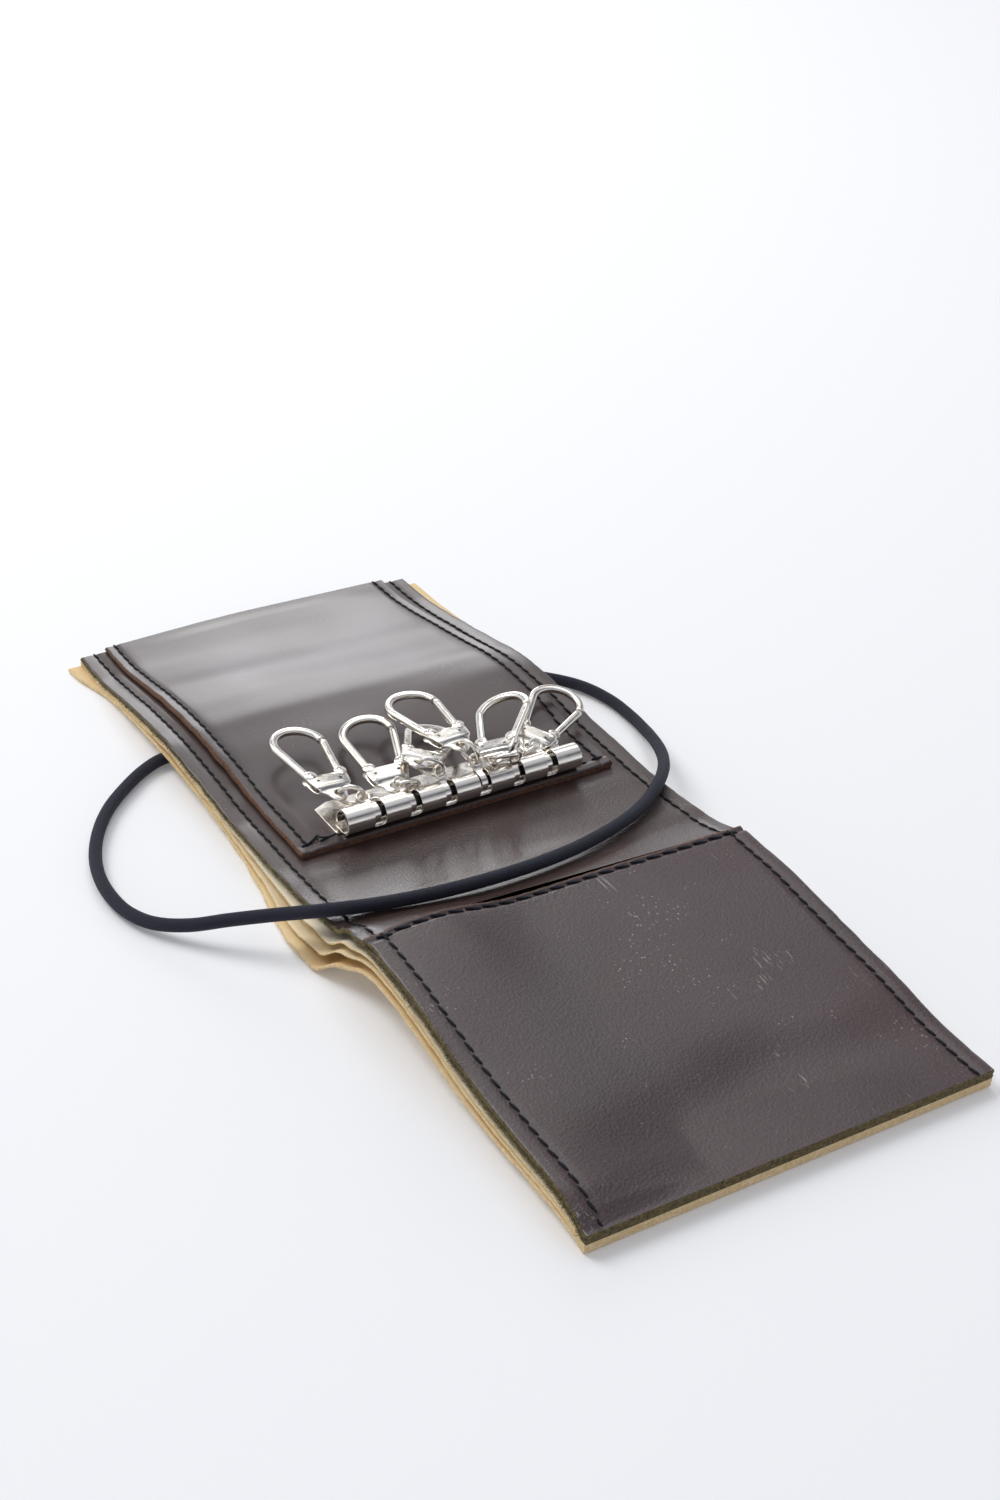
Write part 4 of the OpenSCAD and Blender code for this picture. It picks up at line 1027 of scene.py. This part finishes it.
cheek_t, ear_x, ear_y, ear_r, rim_round = 0.46, 3.7, 6.9, 1.5, 0.14
castings = []
for side in (-1, 1):
    def cheek_under(x, y, side=side):
        swell = tongue_half + (housing_half - tongue_half) * ease((y - 1.6) / 0.9)
        crease = 0.07 * exp(-((y - 2.9) / 0.25) ** 2)
        dome = 0.3 * (x / housing_width(y)) ** 4
        return side * (swell - crease - dome) - (cheek_t if side > 0 else 0)
    cheek = bmesh.new()
    slab(cheek, lambda y: [housing_width(y) * s for s in (-1, -0.85, -0.55, -0.2, 0.2, 0.55, 0.85, 1)],
        spread(-2.09, 6.3, 0.28), cheek_under, cheek_t, 0.45)
    castings.append(cheek)
    # Ear over each foot, with the rim turned over
    for ear in (-1, 1):
        rim = [(ear_r, 0), (ear_r, cheek_t - rim_round), (ear_r - rim_round, cheek_t)]
        heights = rim if side > 0 else [(r, -z) for r, z in reversed(rim)]
        disc = bmesh.new()
        lathe(disc, heights, Vector((ear * ear_x, ear_y, side * (housing_half - cheek_t))), 24)
        castings.append(disc)
# Web between the cheeks, behind the bow's feet
web = bmesh.new()
plate(web, [(-2.4, 2.6), (0.9, 2.6), (0.9, 6), (-2.4, 6)], -0.85, 0.85)
castings.append(web)
# All of it is one metal. Flat triangles join without a stray face.
for build in [hook_mesh] + castings:
    bmesh.ops.triangulate(build, faces=build.faces)
    for face in build.faces:
        face.material_index = 0
hook_body = piece("hook_master", hook_mesh, None, [nickel], slot="nickel_hook")


def cutter(x, y, z, radius, depth=None):
    """A ball, or a drill along Z, that cuts a mark or a hole in the hook."""
    build = bmesh.new()
    if depth:
        bmesh.ops.create_cone(build, cap_ends=True, segments=20, radius1=radius * MM, radius2=radius * MM,
            depth=depth * MM)
    else:
        bmesh.ops.create_uvsphere(build, u_segments=14, v_segments=10, radius=radius * MM)
    bmesh.ops.translate(build, verts=build.verts, vec=Vector((x, y, z)) * MM)
    return formed("cutter", build)


def combined(made, operation, tools):
    """Joins the tools to the object or cuts them out of it, one by one, into one closed skin."""
    for tool in tools:
        step = made.modifiers.new("combined", "BOOLEAN")
        step.operation = operation
        step.solver = "MANIFOLD"
        step.object = tool
        settled(made)
        bpy.data.objects.remove(tool)


combined(hook_body, "UNION", [formed("casting", build) for build in castings])
# The ring's eye is drilled, the upper cheek is punched through twice, and the ears have pressed marks
combined(hook_body, "DIFFERENCE", [cutter(0, 0, 0, eye_r, 4), cutter(-3.6, 7.4, 1.5, 0.5),
    cutter(3.6, 7.5, 1.5, 0.5), cutter(-2.9, 4.5, 1.2, 0.34, 1), cutter(2.4, 4.2, 1.2, 0.39, 1),
    cutter(-3.6, 7.4, -1.5, 0.5)])

gate_mesh = bmesh.new()
gate_line = [Vector((root_x + sin(leg_turn) * t, root_y + cos(leg_turn) * t, 0)) * MM
    for t in [(gate_len - 0.15) * i / 14 for i in range(15)]]
sweep(gate_mesh, gate_line, gate_w * MM, wire_d * MM, 20, squareness=3, cap=0.12 * MM)
gate_foot, foot_r = Vector((root_x, root_y, 0)), 1.3
lathe(gate_mesh, [(foot_r - 0.15, -wire_d / 2), (foot_r, 0.15 - wire_d / 2), (foot_r, wire_d / 2 - 0.15),
    (foot_r - 0.15, wire_d / 2)], gate_foot)
gate_master = piece("gate_master", gate_mesh, None, [nickel], slot="nickel_hook")

pin_mesh = bmesh.new()
pin_r, head_r = 0.5, 0.85
lathe(pin_mesh, [(pin_r, -housing_half), (pin_r, housing_half - 0.02), (head_r, housing_half),
    (head_r - 0.05, housing_half + 0.08), (pin_r, housing_half + 0.15)], gate_foot)
pin_master = piece("pin_master", pin_mesh, None, [nickel], slot="nickel_rivet")

for k in range(1, hooks + 1):
    hook_at = hook_place(k)
    placed_copy(hook_body, f"hook_{k}_body", hook_at, f"hook_{k}", f"hook_{k}", slot="nickel_hook")
    placed_copy(gate_master, f"gate_{k}_leg", hook_at, f"gate_{k}", f"gate_{k}", slot="nickel_hook")
    placed_copy(pin_master, f"gate_pin_{k}_rivet", hook_at, f"hook_{k}", f"gate_pin_{k}", slot="nickel_rivet")
for master in (hook_body, gate_master, pin_master):
    bpy.data.objects.remove(master)

# The hidden pieces keep their CAD shapes
for name in ["rivet_washers", "elastic_clip"] + [f"gate_spring_{k}" for k in range(1, hooks + 1)]:
    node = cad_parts[name]
    node.data.materials.clear()
    node.data.materials.append(steel)


# Floor and light: a white table, one soft light from behind on the left, two more that a level surface
# mirrors, and a white room round it all.
def seen_rays(tree):
    """1 where the camera looks, also in a mirror image or through something clear, and 0 for other light."""
    rays = add(tree, "ShaderNodeLightPath").outputs
    mirrored = add(tree, "ShaderNodeMath", {"operation": "MAXIMUM"}, _0=rays["Is Glossy Ray"],
        _1=rays["Is Transmission Ray"])
    return add(tree, "ShaderNodeMath", {"operation": "MAXIMUM"}, _0=rays["Is Camera Ray"], _1=mirrored)


floor_white, tree, shader = material("white table", Base_Color=linear("#F8F8F8"), Roughness=0.9,
    Specular_IOR_Level=0.1, Emission_Color=(1, 1, 1, 1))
# As seen, the table is a little lighter than it is lit, and it keeps the shadow
glow = add(tree, "ShaderNodeMath", {"operation": "MULTIPLY"}, _0=seen_rays(tree), _1=0.1)
join(tree, shader, Emission_Strength=glow)
bpy.ops.mesh.primitive_plane_add(size=6, location=(0, 0, -0.0002))
floor = bpy.context.object
floor.name = "floor"
floor.data.materials.append(floor_white)


def soft_light(name, place, target, size, power):
    data = bpy.data.lights.new(name, "AREA")
    data.shape = "DISK"
    data.size = size
    data.energy = power
    lamp = placed(name, data)
    lamp.location = place
    lamp.rotation_euler = (Vector(target) - Vector(place)).to_track_quat("-Z", "Y").to_euler()


soft_light("window", (-0.5, 0.9, 1.1), (0, 0, 0), 0.9, 11)
soft_light("ceiling panel", (0.8, 1.1, 2.1), (0, 0, 0), 1.7, 10)
soft_light("low window", (0.85, 2, 0.86), (0, 0, 0), 0.8, 7)

world = bpy.data.worlds.new("white room")
bpy.context.scene.world = world
world.use_nodes = True
tree = world.node_tree
backdrop = tree.nodes["Background"]
# White walls, a darker cornice and a white ceiling, by the height of the direction. The room lights the case
# a little less than it shows.
heading = add(tree, "ShaderNodeTexCoord").outputs["Generated"]
upward = add(tree, "ShaderNodeSeparateXYZ", _0=heading).outputs[2]
walls = [(0, "#F8FAFF"), (0.26, "#F0F4FF"), (0.42, "#A6AAB4"), (0.55, "#9EA1AC"), (0.63, "#4C4E56"),
    (0.68, "#4C4E56"), (0.78, "#B4B8C4"), (0.9, "#E2E6F0"), (1, "#E8ECF6")]
join(tree, backdrop, Color=add(tree, "ShaderNodeValToRGB", stops=walls, _0=upward),
    Strength=add(tree, "ShaderNodeMapRange", _0=seen_rays(tree), _3=0.72, _4=1.0))
